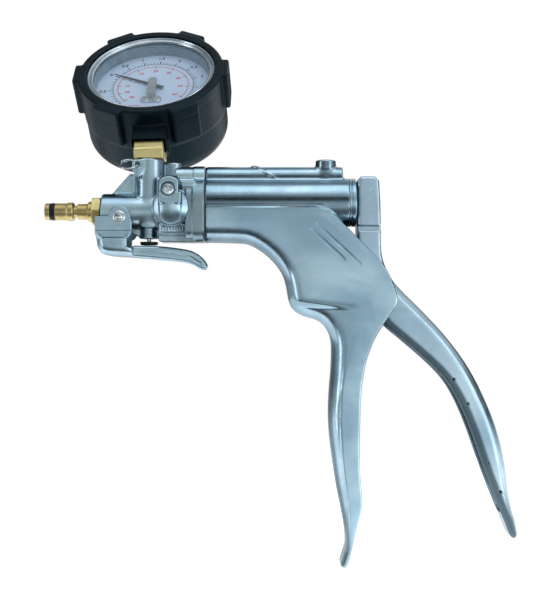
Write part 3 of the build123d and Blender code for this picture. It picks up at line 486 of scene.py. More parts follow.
def zinc(name, tone=(0.46, 0.60, 0.69), dark=(0.050, 0.082, 0.100), rough=(0.14, 0.24), satin=(0.32, 0.42), streak=(14, 700, 700), wave=1.0,
         barrel=False, lift=(1.36, 1.38, 1.40)):
    """tumbled and polished casting: flats stay satin, round edges and tubes take a polish; the colour also carries
    painted light: a painted highlight on flats facing ±Y, painted shade on faces turned away, in creases and where the
    per-vertex mask marks it, and on the barrel a painted dark reflection band
    """
    m = Mat(name)
    cloud = m.noise(42, 4, 0.6)
    blotch = m.noise(120, 4, 0.6)
    fine = m.noise(900, 3, 0.6)
    cast = m.noise(2600, 2, 0.5)
    scratch = m.noise(1.0, 4, 0.65, m.mapping(streak), 0.5)
    cross = m.noise(1.0, 3, 0.6, m.mapping((520, 60, 190), (0.4, 0.8, 0.3)), 0.8)
    nrm = m.nt.nodes.new("ShaderNodeTexCoord").outputs["Normal"]
    ny = m.math("ABSOLUTE", m.sep(nrm)[1])
    flat = m.remap(ny, 0.90, 0.99, 0.0, 1.0)
    if barrel:
        flat = m.math("MULTIPLY", flat, m.remap(m.sep()[2], 0.0006, 0.0020, 1.0, 0.0))
    # painted shade: faces turned away from ±Y are mixed towards the dark tone, standing in for the shade they fall into
    side = m.remap(ny, 0.12, 0.84, 0.74, 0.0)
    skin_and_shade = m.attr("skin_and_shade")
    pt = m.pointiness()
    # painted shade: creases and recesses (low pointiness) are darkened in colour; they are also left rougher, as
    # unpolished hollows are
    crease_shade_and_rough = m.remap(pt, 0.40, 0.482, 1.0, 0.0)
    edge = m.remap(pt, 0.525, 0.60, 0.0, 1.0)
    col = m.mix(m.remap(cloud, 0.36, 0.64, 0.0, 1.0), tone, tuple(c * k for c, k in zip(tone, (0.66, 0.74, 0.80))))
    col = m.mix(m.remap(blotch, 0.48, 0.70, 0.0, 0.5), col, tuple(c * 0.72 for c in tone))
    if barrel:
        z = m.sep()[2]
        on = m.remap(z, 0.0012, 0.0022, 0.0, 1.0)
        lines = m.noise(1.0, 4, 0.6, m.mapping((6, 420, 900)), 0.1)
        col = m.mix(m.math("MULTIPLY", m.remap(lines, 0.46, 0.64, 0.0, 0.75), on), col, (0.17, 0.25, 0.30))
        # painted reflection: a dark band along the barrel's middle stands in for the dark room that the camera-facing
        # part of the barrel reflects
        band = m.math("MULTIPLY", m.remap(z, 0.0012, 0.0030, 0.0, 1.0), m.remap(z, 0.0052, 0.0074, 1.0, 0.0))
        col = m.mix(m.math("MULTIPLY", band, 0.66), col, dark)
    # painted highlight: flats facing ±Y take a lighter copy of the tone, standing in for the light they catch; the
    # noise only varies this painted highlight
    lit = tuple(min(0.93, c * k) for c, k in zip(tone, lift))
    lit = m.mix(m.remap(m.noise(27, 3, 0.55, None, 0.6), 0.38, 0.62, 0.0, 1.0), lit, tuple(c * k for c, k in zip(lit, (0.62, 0.70, 0.76))))
    col = m.mix(m.math("MULTIPLY", flat, 0.8), col, lit)
    col = m.mix(side, col, dark)
    # painted shade: the per-vertex mask darkens the colour where shade falls; it also roughens those parts as
    # unpolished cast skin
    col = m.mix(m.math("MULTIPLY", skin_and_shade, 0.85), col, dark)
    col = m.mix(m.math("MULTIPLY", crease_shade_and_rough, 0.80), col, dark)
    col = m.mix(m.math("MULTIPLY", edge, 0.50), col, (0.66, 0.78, 0.84))
    col = m.mix(m.remap(scratch, 0.62, 0.76, 0.0, 0.25), col, (0.62, 0.74, 0.81))
    m.link(col, m.b.inputs["Base Color"])
    r0 = m.remap(blotch, 0.3, 0.7, rough[0], rough[1])
    r1 = m.remap(cloud, 0.3, 0.7, satin[0], satin[1])
    mixr = m.math("ADD", m.math("MULTIPLY", r0, m.math("SUBTRACT", 1.0, flat)), m.math("MULTIPLY", r1, flat))
    r = m.math("ADD", mixr, m.remap(scratch, 0.45, 0.75, -0.02, 0.06))
    r = m.math("ADD", r, m.remap(cross, 0.55, 0.75, 0.0, 0.05))
    r = m.math("ADD", r, m.math("MULTIPLY", crease_shade_and_rough, 0.10))
    r = m.math("ADD", r, m.math("MULTIPLY", skin_and_shade, 0.12))
    m.link(r, m.b.inputs["Roughness"])
    m.set(Metallic=1.0)
    parts = [(m.noise(34, 2, 0.4), 0.30 * wave, 0.5), (blotch, 0.035 * wave, 0.45), (fine, 0.010, 0.30), (cast, 0.005, 0.30), (scratch, 0.004, 0.4)]
    if barrel:
        parts.append((m.math("MULTIPLY", lines, on), 0.02, 0.5))
    m.bump(parts)
    return m.m


def plain_metal(name, tone, dark, rough, turning=None, wear=(0.85, 0.85, 0.85)):
    m = Mat(name)
    blotch = m.noise(160, 4, 0.6)
    fine = m.noise(1500, 3, 0.6)
    pt = m.pointiness()
    col = m.mix(m.remap(blotch, 0.35, 0.7, 0.0, 1.0), tone, dark)
    col = m.mix(m.remap(pt, 0.53, 0.64, 0.0, 0.5), col, wear)
    # painted shade: recesses such as the screw's cross (low pointiness) are darkened in colour
    col = m.mix(m.remap(pt, 0.36, 0.475, 0.85, 0.0), col, tuple(c * 0.12 for c in dark))
    m.link(col, m.b.inputs["Base Color"])
    r = m.remap(blotch, 0.3, 0.7, rough[0], rough[1])
    parts = [(blotch, 0.006, 0.3), (fine, 0.005, 0.35)]
    if turning:
        t = m.noise(1.0, 2, 0.5, m.mapping(turning), 0.0)
        r = m.math("ADD", r, m.remap(t, 0.4, 0.7, -0.03, 0.08))
        parts.append((t, 0.004, 0.4))
    m.link(r, m.b.inputs["Roughness"])
    m.set(Metallic=1.0)
    m.bump(parts)
    return m.m


def rubber(name, tone=(0.0025, 0.0050, 0.0072), lift=(0.005, 0.010, 0.014), rough=(0.30, 0.42), grain=0.35):
    m = Mat(name)
    blotch = m.noise(70, 4, 0.6)
    fine = m.noise(1400, 3, 0.6)
    pits = m.voronoi(900)
    pt = m.pointiness()
    col = m.mix(m.remap(blotch, 0.35, 0.7, 0.0, 1.0), tone, lift)
    col = m.mix(m.remap(pt, 0.52, 0.62, 0.0, 0.5), col, (0.020, 0.027, 0.033))
    m.link(col, m.b.inputs["Base Color"])
    m.link(m.math("ADD", m.remap(blotch, 0.3, 0.7, rough[0], rough[1]), m.remap(fine, 0.4, 0.7, -0.03, 0.06)), m.b.inputs["Roughness"])
    m.set(IOR=1.42)
    m.set(Specular_IOR_Level=0.32)
    m.set(Specular_Tint=(0.42, 0.80, 1.0))
    m.bump([(blotch, 0.10, 0.3), (fine, 0.02, grain), (pits, 0.015, 0.25)])
    return m.m


def printed(name, tone, rough=0.5):
    m = Mat(name)
    n = m.noise(2200, 2, 0.5)
    col = m.mix(m.remap(n, 0.4, 0.7, 0.0, 0.35), tone, tuple(min(1, c * 1.5 + 0.03) for c in tone))
    m.link(col, m.b.inputs["Base Color"])
    m.link(m.remap(n, 0.3, 0.7, rough - 0.06, rough + 0.08), m.b.inputs["Roughness"])
    m.bump([(n, 0.004, 0.3)])
    return m.m


def dial_paint():
    m = Mat("dial_paint")
    a = m.noise(45, 3, 0.5)
    b = m.noise(2400, 2, 0.5)
    col = m.mix(m.remap(a, 0.35, 0.7, 0.0, 1.0), (0.62, 0.74, 0.92), (0.56, 0.69, 0.90))
    m.link(col, m.b.inputs["Base Color"])
    m.link(m.remap(b, 0.3, 0.7, 0.38, 0.52), m.b.inputs["Roughness"])
    m.bump([(b, 0.005, 0.25)])
    return m.m


def window():
    m = Mat("window_clear")
    n = m.noise(60, 3, 0.5)
    m.link(m.mix(m.remap(n, 0.3, 0.7, 0.0, 1.0), (0.80, 0.86, 0.92), (0.84, 0.89, 0.94)), m.b.inputs["Base Color"])
    m.link(m.remap(n, 0.3, 0.7, 0.05, 0.12), m.b.inputs["Roughness"])
    m.set(Alpha=0.06, IOR=1.49)
    m.bump([(n, 0.01, 0.1)])
    return m.m


M_BODY = zinc("zinc_body", rough=(0.17, 0.26), satin=(0.36, 0.46), streak=(9, 300, 420), barrel=True)
M_HEAD = zinc("zinc_head", tone=(0.55, 0.69, 0.78), rough=(0.20, 0.30), satin=(0.38, 0.48), streak=(60, 500, 60), wave=0.6)
M_HANDLE = zinc("zinc_handle", tone=(0.60, 0.74, 0.83), rough=(0.20, 0.30), satin=(0.40, 0.50), streak=(90, 500, 30), wave=0.8, lift=(1.12, 1.12, 1.12))
M_LEVER = zinc("zinc_lever", tone=(0.49, 0.63, 0.71), rough=(0.22, 0.31), satin=(0.38, 0.48), streak=(40, 600, 600), wave=0.5)
M_CAP = zinc("zinc_cap", tone=(0.44, 0.58, 0.67), rough=(0.20, 0.28), streak=(600, 120, 120), wave=0.3)
M_BRASS = plain_metal("brass_turned", (0.68, 0.55, 0.25), (0.46, 0.35, 0.14), (0.33, 0.42), (2600, 20, 20), (0.80, 0.72, 0.50))
M_STEM = plain_metal("brass_bar", (0.95, 0.80, 0.40), (0.86, 0.72, 0.33), (0.40, 0.50), (60, 60, 900), (0.90, 0.82, 0.55))
M_STEEL = plain_metal("steel_screw", (0.86, 0.92, 0.95), (0.66, 0.72, 0.76), (0.22, 0.34))
M_BRIGHT = plain_metal("steel_bright", (0.72, 0.76, 0.80), (0.60, 0.65, 0.70), (0.07, 0.15))
M_SPRING = plain_metal("steel_wire", (0.70, 0.74, 0.78), (0.50, 0.54, 0.58), (0.18, 0.30))
M_BRONZE = plain_metal("bronze_sintered", (0.55, 0.36, 0.18), (0.42, 0.26, 0.12), (0.30, 0.45))
M_BRACKET = plain_metal("bracket_plate", (0.46, 0.49, 0.50), (0.30, 0.33, 0.35), (0.22, 0.34))
M_RUBBER = rubber("rubber_boot")
M_SEAL = rubber("rubber_seal", (0.008, 0.009, 0.011), (0.014, 0.017, 0.02), (0.28, 0.40), 0.3)
M_SPACER = rubber("rubber_spacer", (0.16, 0.25, 0.32), (0.26, 0.38, 0.46), (0.16, 0.26), 0.15)
M_GASKET = rubber("gasket_sheet", (0.11, 0.14, 0.16), (0.17, 0.20, 0.22), (0.6, 0.75), 0.5)
M_DIAL = dial_paint()
M_INK = printed("ink_black", (0.010, 0.016, 0.028))
M_RED = printed("ink_red", (0.58, 0.05, 0.11))
M_POINTER = printed("pointer_paint", (0.012, 0.016, 0.022), 0.35)
M_WINDOW = window()

# =====================================================================================================
# outlines, millimetres, in the plane of the pump
# =====================================================================================================
front_line = [(77.8, -14.9), (94.1, -15.4), (98.9, -16.3), (102.7, -18.3), (106.1, -20.7), (109.4, -23.7),
              (112.6, -27.6), (115.0, -32.0), (116.3, -37.2), (117.2, -42.2), (118.8, -46.2), (121.6, -49.0),
              (125.5, -50.8), (129.9, -52.1), (133.4, -54.1), (135.9, -57.2), (137.5, -61.4), (138.0, -67.0),
              (137.7, -76.3), (136.9, -85.9), (136.5, -95.5), (136.8, -105.1), (137.8, -115.0), (139.2, -125.5),
              (140.6, -133.9), (142.1, -141.1), (143.5, -148.3), (144.5, -155.5), (144.6, -160.8), (143.4, -165.2),
              (142.1, -169.8)]
rear_line = [(144.7, -169.8), (146.4, -165.6), (147.8, -160.3), (149.3, -153.1), (151.2, -145.9), (152.2, -141.1),
             (152.2, -134.9), (151.4, -124.3), (151.2, -109.9), (151.7, -90.7), (152.6, -81.1), (154.1, -72.5),
             (156.5, -65.3), (158.9, -60.0), (161.3, -55.9), (163.7, -52.3), (166.1, -48.7), (168.2, -45.6),
             (169.0, -41.8), (167.5, -36.5), (164.6, -29.8), (161.3, -24.5)]
diag_top = (134.4, 2.9)
hollow_line = [(101.5, -8.7), (106.5, -15.4), (110.4, -19.4), (113.9, -23.9), (116.7, -28.4), (118.6, -34.2),
               (119.7, -39.4), (121.1, -43.9), (124.5, -46.6), (129.3, -48.3), (134.9, -51.2), (138.9, -56.2),
               (140.9, -62.5), (141.1, -70.1), (140.8, -75.5), (140.3, -81.6), (139.8, -86.8), (139.5, -92.7),
               (139.5, -97.8), (139.8, -103.7), (140.3, -109.7), (140.8, -114.9), (141.5, -120.9), (142.3, -126.9),
               (143.4, -131.9), (144.6, -137.8), (145.7, -143.0), (146.8, -149.1), (147.5, -154.4), (147.9, -161.1)]
handle_line = [(161.5, -17.0), (162.0, -22.1), (163.9, -27.4), (167.2, -33.1), (171.8, -38.4), (177.4, -43.9),
               (183.8, -50.4), (190.1, -57.1), (196.3, -64.6), (202.0, -72.5), (207.2, -81.3), (211.5, -90.2),
               (215.0, -98.4), (217.7, -106.3), (219.8, -114.3), (221.5, -122.5), (222.6, -131.3), (223.6, -138.5),
               (225.1, -144.7), (226.6, -149.3), (227.3, -153.1), (226.8, -155.7), (225.1, -156.7), (223.3, -155.2),
               (220.6, -148.5), (217.5, -141.1), (214.4, -133.4), (211.1, -124.6), (207.8, -115.2), (204.5, -105.8),
               (201.0, -97.0), (197.4, -89.4), (193.4, -82.8), (188.4, -76.8), (180.5, -69.4), (170.9, -61.2),
               (163.7, -55.0), (158.0, -47.0), (151.0, -42.2), (147.6, -38.0), (147.0, -33.0), (148.4, -27.0),
               (150.2, -20.0)]
handle_hollow = [(164.0, -38.5), (167.6, -40.4), (172.2, -44.6), (176.9, -49.0), (181.6, -53.6), (186.1, -58.2),
                 (190.3, -62.9), (194.4, -68.0), (198.3, -73.2), (201.7, -78.5), (205.1, -84.8), (208.1, -90.8),
                 (210.9, -97.0), (213.3, -103.0), (215.4, -109.2), (217.1, -115.3), (218.3, -121.4), (219.3, -127.7),
                 (220.0, -134.0), (220.7, -140.0), (221.4, -144.6)]

O_BODY = Outline([(60.0, -14.9)] + smooth(front_line) + smooth(rear_line) + [diag_top, (60.0, 1.4)])
O_FRONT = Outline([(60.0, -14.9)] + smooth(front_line), closed=False, step=0.5)
O_REAR = Outline(smooth(rear_line) + [diag_top], closed=False, step=0.5)
O_HOLLOW = Outline(smooth(hollow_line) + [(146.2, -167.4), (147.0, -178.0), (190.0, -178.0), (190.0, -8.7)])
O_HANDLE = Outline(smooth(handle_line) + [(150.2, 14.4), (151.9, 16.3), (158.6, 16.3), (160.6, 14.2), (161.3, 0.0)])
O_HOUT = Outline(smooth(handle_line[:21]), closed=False, step=0.5)
O_HIN = Outline(smooth(handle_line[23:39]), closed=False, step=0.5)
O_HHOLLOW = Outline(smooth(handle_hollow) + [(215.0, -144.6), (185.0, -144.6), (150.0, -75.0), (150.0, -52.0)])


# =====================================================================================================
# pump body
# =====================================================================================================
def f_body(x, y, z):
    ay = np.abs(y)
    a = O_BODY(x, z)
    w = sstep((O_REAR(x, z) - O_FRONT(x, z) + 1.0) / 6.0)
    r = 0.9 + 6.8 * w
    # flat band along the diagonal edge, knuckle step above the grip, slow taper down the grip
    n = np.array([24.5 + 0.96, 158.9 - 128.6]) / math.hypot(25.46, 30.3)
    di = (x - 128.6) * n[0] + (z - 0.96) * n[1]
    band = 0.17 * np.maximum(di, 0) * sstep((z + 33.0) / 6.0)
    ln = (z - (-43.2 - 0.11 * (x - 122.0)))
    under = sstep(-ln / 2.6) * (1 - sstep((x - 129.0) / 24.0)) * 1.9
    taper = 1.7 * sstep((-52.0 - z) / 70.0)
    T = 12.0 - band - np.maximum(under, taper)
    # broad roll towards the front edge, and the slight unevenness of a tumbled casting
    T = T - 1.25 * (1 - np.clip(O_FRONT(x, z) / 15.0, 0, 1)) ** 2 * sstep((z + 60.0) / 20.0)
    T = T - 0.22 + 0.22 * np.sin(0.105 * x + 0.06 * z + 0.6) * np.cos(0.11 * z - 0.03 * x)
    web = rmax(a, ay - T, r)
    hol = rmax(O_HOLLOW(x, z), ay - (T - 3.0), 4.5)
    web = cut(web, hol, 0.5)
    web = rmax(web, 77.85 - x, 0.35)
    # barrel, passage tube, rear port
    cyl = rmax(mag(y, z - 4.3) - 11.75, slab(x, 77.85, 146.4), 0.35)
    tube = rmax(mag(y, z - 16.6) - 5.0, slab(x, 77.85, 143.5), 0.7)
    # slanted flash line left on the tube
    sl = ((x - 102.2) * 5.3 + (z - 21.6) * 7.7) / math.hypot(5.3, 7.7)
    tube = tube - 0.22 * np.exp(-(sl / 0.5) ** 2) * sstep((z - 12.5) / 1.5)
    neck = rmax(ay - 3.5, np.maximum(slab(x, 77.85, 143.3), slab(z, 8.0, 15.6)), 0.3)
    top = rmin(rmin(cyl, neck, 0.6), tube, 1.3)
    port = rod(z, x, y, 12.0, 24.75, 135.4, 0.0, 4.9, 0.8)
    top = rmin(top, port, 1.1)
    dome = ball(x, y, z, (101.1, 0, 21.3), 2.3, (1, 1, 0.42))
    top = rmin(top, dome, 0.3)
    d = rmin(web, top, 0.45)
    # crease between barrel and web
    groove = rmax(mag(ay - 12.25, z - 1.95) - 0.85, slab(x, 70.0, 133.2), 0.2)
    d = cut(d, groove, 0.25)
    # plain grooves along the diagonal, where such castings carry a mark
    for s, e in (((131.0, -6.9), (151.2, -25.6)), ((128.6, -9.5), (143.6, -23.4))):
        d = cut(d, capsule(x, y, z, (s[0], -12.35, s[1]), (e[0], -12.35, e[1]), 0.75), 0.2)
    # bores
    d = cut(d, rmax(mag(y, z - 4.3) - 9.5, slab(x, 70.0, 150.0), 0.1), 0.3)
    d = cut(d, rmax(mag(y, z - 16.6) - 1.6, slab(x, 70.0, 135.4), 0.1), 0.2)
    d = cut(d, rmax(mag(x - 135.4, y) - 2.2, slab(z, 16.2, 30.0), 0.1), 0.2)
    d = cut(d, rmax(mag(x - 135.4, y) - 2.6, slab(z, 18.8, 30.0), 0.1), 0.4)
    d = cut(d, rmax(mag(y, z - 16.6) - 2.45, slab(x, 139.5, 150.0), 0.1), 0.3)
    d = cut(d, rmax(mag(x - 155.0, z + 34.6) - 2.52, slab(y, -10.8, 20.0), 0.1), 0.3)
    return d


# painted shade on the grip's front edge and along the front underside, and a painted shadow line under the knuckle
# step; the same mask roughens these as cast skin
solid("body_casting", f_body, (77.8, -12.0, -169.9), (169.1, 12.0, 24.8), 0.62, M_BODY, "pump", ("pump_body",),
      skin_and_shade=lambda x, y, z: 0.75 * sstep((2.6 - O_FRONT(x, z)) / 1.5) * sstep((-58.0 - z) / 8.0)
      + 0.55 * sstep((3.4 - O_FRONT(x, z)) / 2.2) * sstep((z + 40.0) / 8.0)
      + 0.55 * np.exp(-((z + 42.6 + 0.11 * (x - 122.0)) / 1.3) ** 2) * sstep((x - 117.0) / 8.0) * (1 - sstep((x - 146.0) / 8.0)) * (z < -40))


# =====================================================================================================
# front head
# =====================================================================================================
O_GUSSET = Outline([(32.4, 8.0), (41.4, 18.2), (46.5, 18.4), (50.0, 8.0), (50.0, 5.0), (32.4, 5.0)], step=0.15, pad=4)
O_EYE = Outline([(48.4, 24.3), (44.2, 24.3)] + smooth([(43.3, 24.0), (42.8, 23.2), (42.7, 20.4), (43.5, 17.8), (44.6, 16.1), (46.0, 15.7), (47.2, 16.9), (48.4, 20.0)], 4), step=0.15, pad=4)


O_RELWEB = Outline([(40.5, -4.0), (56.0, -4.0), (56.0, -12.8), (46.4, -12.8), (40.5, -10.2)], step=0.15, pad=4)


def f_head(x, y, z):
    core = block(x, y, z, (55.2, -8.5, -14.9), (73.0, 8.5, 15.6), 1.5)
    # flange against the body
    sec = rmax(np.abs(y) - 12.0, slab(z, -14.9, 9.0), 6.3)
    sec = np.where(z > -3.0, np.maximum(np.abs(y) - 12.0, slab(z, -14.9, 4.1)), sec)
    sec = np.minimum(sec, mag(y, z - 4.3) - 12.15)
    sec = rmin(sec, mag(y, z - 16.6) - 5.3, 1.2)
    flange = rmax(sec, slab(x, 71.6, 77.3), 0.55)
    rib = rmax(sec + 0.55, slab(x, 68.4, 72.0), 0.4)
    tube = rod(x, y, z, 62.9, 77.3, 0.0, 16.6, 5.0, 0.7)
    nose = rod(x, y, z, 27.5, 57.0, 0.0, 0.0, 8.6, 0.9)
    col = rod(z, x, y, -8.0, 25.0, 50.4, 0.0, 7.2, 0.7)
    boss = rod(z, x, y, 8.0, 23.5, 61.9, 1.5, 3.9, 0.7)
    tie = block(x, y, z, (56.2, -0.6, 8.0), (60.2, 2.4, 22.6), 0.4)
    gus = rmax(O_GUSSET(x, z), np.abs(y) - 1.1, 0.4)
    rim = rmax(capsule(x, y * 0.55, z, (33.0, 0, 8.0), (41.2, 0, 17.4), 0.95), np.abs(y) - 1.6, 0.3)
    eye = rmax(O_EYE(x, z), np.maximum(-7.8 + 0.30 * np.maximum(x - 46.0, 0) - y, y + 6.2), 0.5)
    rel = rod(z, x, y, -13.2, -4.0, 50.0, 0.0, 4.25 + 0.30 * sstep((-11.2 - z) / 1.2), 0.5)
    relweb = rmax(O_RELWEB(x, z), np.abs(y) - 2.2, 0.5)
    d = rmin(core, nose, 1.2)
    d = rmin(d, col, 1.1)
    d = rmin(d, tube, 0.9)
    d = rmin(d, rib, 0.4)
    d = rmin(d, flange, 0.4)
    d = rmin(d, boss, 0.6)
    d = rmin(d, tie, 0.6)
    d = rmin(d, gus, 0.9)
    d = rmin(d, rim, 0.3)
    d = rmin(d, eye, 1.5)
    d = rmin(d, rel, 0.6)
    d = rmin(d, relweb, 0.5)
    # seats and stepped panels on the near side, one plain pad on the far side
    seat = rod(y, x, z, -10.4, -7.0, 61.6, 1.5, 9.2, 0.3)
    seat2 = block(x, y, z, (56.2, -10.4, 3.2), (65.6, -7.0, 16.4), 0.7)
    pan1 = block(x, y, z, (66.4, -10.0, 6.4), (71.9, -6.0, 12.0), 0.5)
    pan2 = block(x, y, z, (68.4, -9.5, -4.6), (71.9, -6.0, 3.4), 0.5)
    pan3 = block(x, y, z, (66.0, -9.2, -5.6), (73.0, -6.0, 14.0), 0.4)
    pad = block(x, y, z, (55.6, -9.3, -11.6), (72.0, -7.0, -6.2), 0.6)
    low = block(x, y, z, (55.4, -9.0, -14.6), (73.0, -6.0, -12.6), 0.4)
    for p in (seat, seat2, pan3, pan1, pan2, pad, low):
        d = rmin(d, p, 0.35)
    # plain ribs inside the pad's raised border
    d = cut(d, block(x, y, z, (56.6, -9.8, -10.7), (71.0, -8.8, -7.1), 0.3), 0.15)
    k = np.clip(np.round((x - 57.6) / 1.35), 0, 9) * 1.35 + 57.6
    ribs = rmax(np.abs(x - k) - 0.36, np.maximum(slab(y, -9.3, -8.0), slab(z, -10.1, -7.7)), 0.2)
    d = rmin(d, ribs, 0.12)
    for s in (1, -1):
        far = block(x, y * s, z, (56.5, 7.5, -5.0), (71.0, 9.0, 9.5), 0.8) if s == 1 else None
        if far is not None:
            d = rmin(d, far, 0.4)
    # openings
    d = cut(d, rmax(mag(y, z) - 4.4, slab(x, 20.0, 36.5), 0.1), 0.3)
    d = cut(d, rmax(mag(x - 50.4, y) - 4.8, slab(z, 13.0, 30.0), 0.1), 0.35)
    d = cut(d, rmax(mag(x - 50.0, y) - 2.2, slab(z, -20.0, -4.2), 0.1), 0.2)
    for px in (58.2, 65.0):
        d = cut(d, rmax(mag(x - px, z - 0.6) - 3.1, slab(y, -14.0, -7.0), 0.1), 0.15)
    for s in (1, -1):
        d = cut(d, rmax(mag(y - 5.3 * s, z + 10.9) - 2.6, slab(x, 54.7, 74.0), 0.1), 0.15)
    d = cut(d, rmax(mag(x - 45.4, z - 22.0) - 1.35, slab(y, -12.0, -5.0), 0.1), 0.3)
    return d


# painted shade on the head's lower rear, behind x 62 and below z 13, which the mask also roughens as cast skin
solid("head_casting", f_head, (27.5, -12.4, -14.9), (77.4, 12.4, 25.0), 0.42, M_HEAD, "pump", ("front_head",),
      skin_and_shade=lambda x, y, z: 0.52 * sstep((x - 62.0) / 4.0) * sstep((13.0 - z) / 2.0))


# =====================================================================================================
# valve cover and its cross-recessed screw
# =====================================================================================================
def f_cover(x, y, z):
    rr = mag(x - 61.6, z - 1.5)
    dome = rmax(rr - 8.75, np.maximum(-14.6 + 0.040 * rr * rr - y, y + 10.85), 0.75)
    # nose: half round from side to side, falling back to a round lower end
    zz = np.minimum(z - 2.4, 0)
    u = x - 61.5
    prof = -15.75 + 0.060 * u * u * sstep((3.4 - z) / 1.4) + 0.040 * zz * zz
    foot = mag(np.abs(u) * 1.0, np.minimum(z + 1.8, 0)) - 5.35
    nose = rmax(foot, np.maximum(prof - y, np.maximum(z - 8.0, y + 11.0)), 0.8)
    tab = block(x, y, z, (56.3, -15.1, 2.6), (65.5, -10.85, 16.2), 0.8)
    tab = rmax(tab, mag(x - 60.9, np.maximum(z - 9.0, 0)) - 6.6, 0.8)
    d = rmin(dome, nose, 0.5)
    d = rmin(d, tab, 0.35)
    well = rmax(mag(x - 60.6, z - 9.4) - 3.5, slab(y, -20.0, -13.05), 0.15)
    d = cut(d, well, 0.35)
    d = cut(d, rmax(mag(x - 60.6, z - 9.4) - 1.5, slab(y, -20.0, -8.0), 0.1), 0.15)
    return d


# painted shade darkening the cover towards its lower end; the mask also roughens it
solid("valve_cover_cast", f_cover, (52.6, -15.9, -7.4), (70.6, -10.8, 16.3), 0.3, M_HEAD, "pump", ("valve_cover",),
      skin_and_shade=lambda x, y, z: 0.55 * sstep((0.5 - z) / 5.0))


def f_screw(x, y, z):
    px, pz = x - 60.6, z - 9.4
    rr = mag(px, pz)
    head = rmax(rr - 2.7, slab(y, -14.7 + 0.05 * rr * rr * 0.9, -13.05), 0.35)
    shank = rmax(rr - 1.25, slab(y, -13.6, -3.0), 0.2)
    d = np.minimum(head, shank)
    ca, sa = math.cos(0.35), math.sin(0.35)
    u, v = np.abs(px * ca - pz * sa), np.abs(px * sa + pz * ca)
    depth = np.minimum((y + 15.0), 9)
    taper = 0.12 * depth
    armu = np.maximum(u - (1.75 - taper * 1.6), v - (0.46 - taper * 0.3))
    armv = np.maximum(v - (1.75 - taper * 1.6), u - (0.46 - taper * 0.3))
    cross = rmax(rmin(armu, armv, 0.2), y + 13.45, 0.1)
    return cut(d, cross, 0.1)


solid("cover_screw_cross", f_screw, (57.8, -14.75, 6.6), (63.4, -2.9, 12.2), 0.13, M_STEEL, "pump", ("valve_cover_screw",))


# =====================================================================================================
# hose connector, O-ring
# =====================================================================================================
CONN = [(0.0, 1.4), (0.0, 3.75), (0.35, 4.1), (2.3, 4.1), (2.45, 3.2), (4.75, 3.2), (4.9, 4.1), (10.4, 4.1),
        (11.2, 4.5), (13.2, 4.5), (13.9, 3.9), (14.0, 2.75), (15.5, 2.75), (15.55, 3.7), (15.75, 3.8), (20.5, 3.8),
        (20.9, 4.85), (22.8, 4.85), (22.85, 6.2), (27.2, 6.2), (27.2, 4.35), (36.0, 4.3), (36.0, 1.4)]
O_CONN = Outline(CONN, step=0.08, pad=3)


def f_conn(x, y, z):
    rr = mag(y, z)
    d = O_CONN(x, rr)
    # six flats, chamfered corners
    hx = np.full_like(y + z, -1e9)
    for k in range(3):
        a = math.pi / 3 * k + math.pi / 2
        hx = np.maximum(hx, np.abs(y * math.cos(a) + z * math.sin(a)) - 6.4)
    cone = np.maximum(rr - (7.25 - 0.55 * np.maximum(0, 23.7 - x)), rr - (7.25 - 0.55 * np.maximum(0, x - 26.3)))
    hexa = rmax(rmax(hx, slab(x, 22.9, 27.15), 0.2), cone, 0.15)
    d = rmin(d, hexa, 0.1)
    return cut(d, rmax(rr - 1.4, slab(x, -5, 40), 0.05), 0.15)


solid("connector_turned", f_conn, (0, -7.4, -7.4), (36, 7.4, 7.4), 0.22, M_BRASS, "pump", ("hose_connector",))
turned("o_ring_fitted", [(3.6 + 1.12 * math.cos(a), 3.72 + 0.53 * math.sin(a)) for a in [2 * math.pi * k / 20 for k in range(20)]],
       (0, 0, 0), (1, 0, 0), (0, 0, 1), M_SEAL, "pump", ("connector_o_ring",), seg=96, r=0)

# barrel end cap with a thin relieved step
turned("end_cap_turned", [(140.6, 5.0), (140.6, 9.4), (146.4, 9.4), (146.4, 11.7), (147.1, 11.7), (147.3, 11.35), (147.7, 11.35), (147.9, 11.7),
                          (149.3, 11.7), (149.8, 11.2), (149.8, 8.6), (149.4, 8.2), (149.4, 6.2), (149.8, 5.8), (149.8, 5.0)],
       (0, 0, 4.3), (1, 0, 0), (0, 0, 1), M_CAP, "pump", ("barrel_end_cap",), seg=160, r=0.25)


# =====================================================================================================
# release lever and its rivets
# =====================================================================================================
O_LEVER = Outline([(25.4, -3.0), (25.4, -13.0)] + smooth([(25.9, -16.8), (27.6, -19.6), (31.0, -21.3), (41.3, -22.1), (55.7, -23.3),
                  (67.7, -24.7), (72.5, -26.4), (74.9, -27.8), (76.6, -28.3), (78.0, -27.4), (78.2, -25.9), (76.3, -22.8),
                  (72.5, -19.9), (67.7, -18.4), (55.7, -16.9), (42.9, -16.6)], 4) + [(42.9, -5.0), (42.3, -3.3)]
                  + smooth([(42.3, -3.3), (41.5, -0.4), (39.3, 1.5), (37.0, 2.1), (34.7, 1.5), (32.5, -0.4), (31.6, -3.0)], 4), step=0.15, pad=7)
O_LHOL = Outline([(26.8, 7.0), (26.8, -13.0)] + smooth([(27.3, -16.2), (28.8, -18.6), (31.5, -19.9), (41.3, -20.6), (43.1, -20.7)], 4) + [(43.1, 7.0)], step=0.15, pad=4)
O_LCHAN = Outline([(46.5, -26.5), (46.5, -18.6), (55.7, -19.0), (66.5, -20.4), (70.5, -21.9), (72.6, -23.6), (71.0, -32.0)], step=0.15, pad=4)


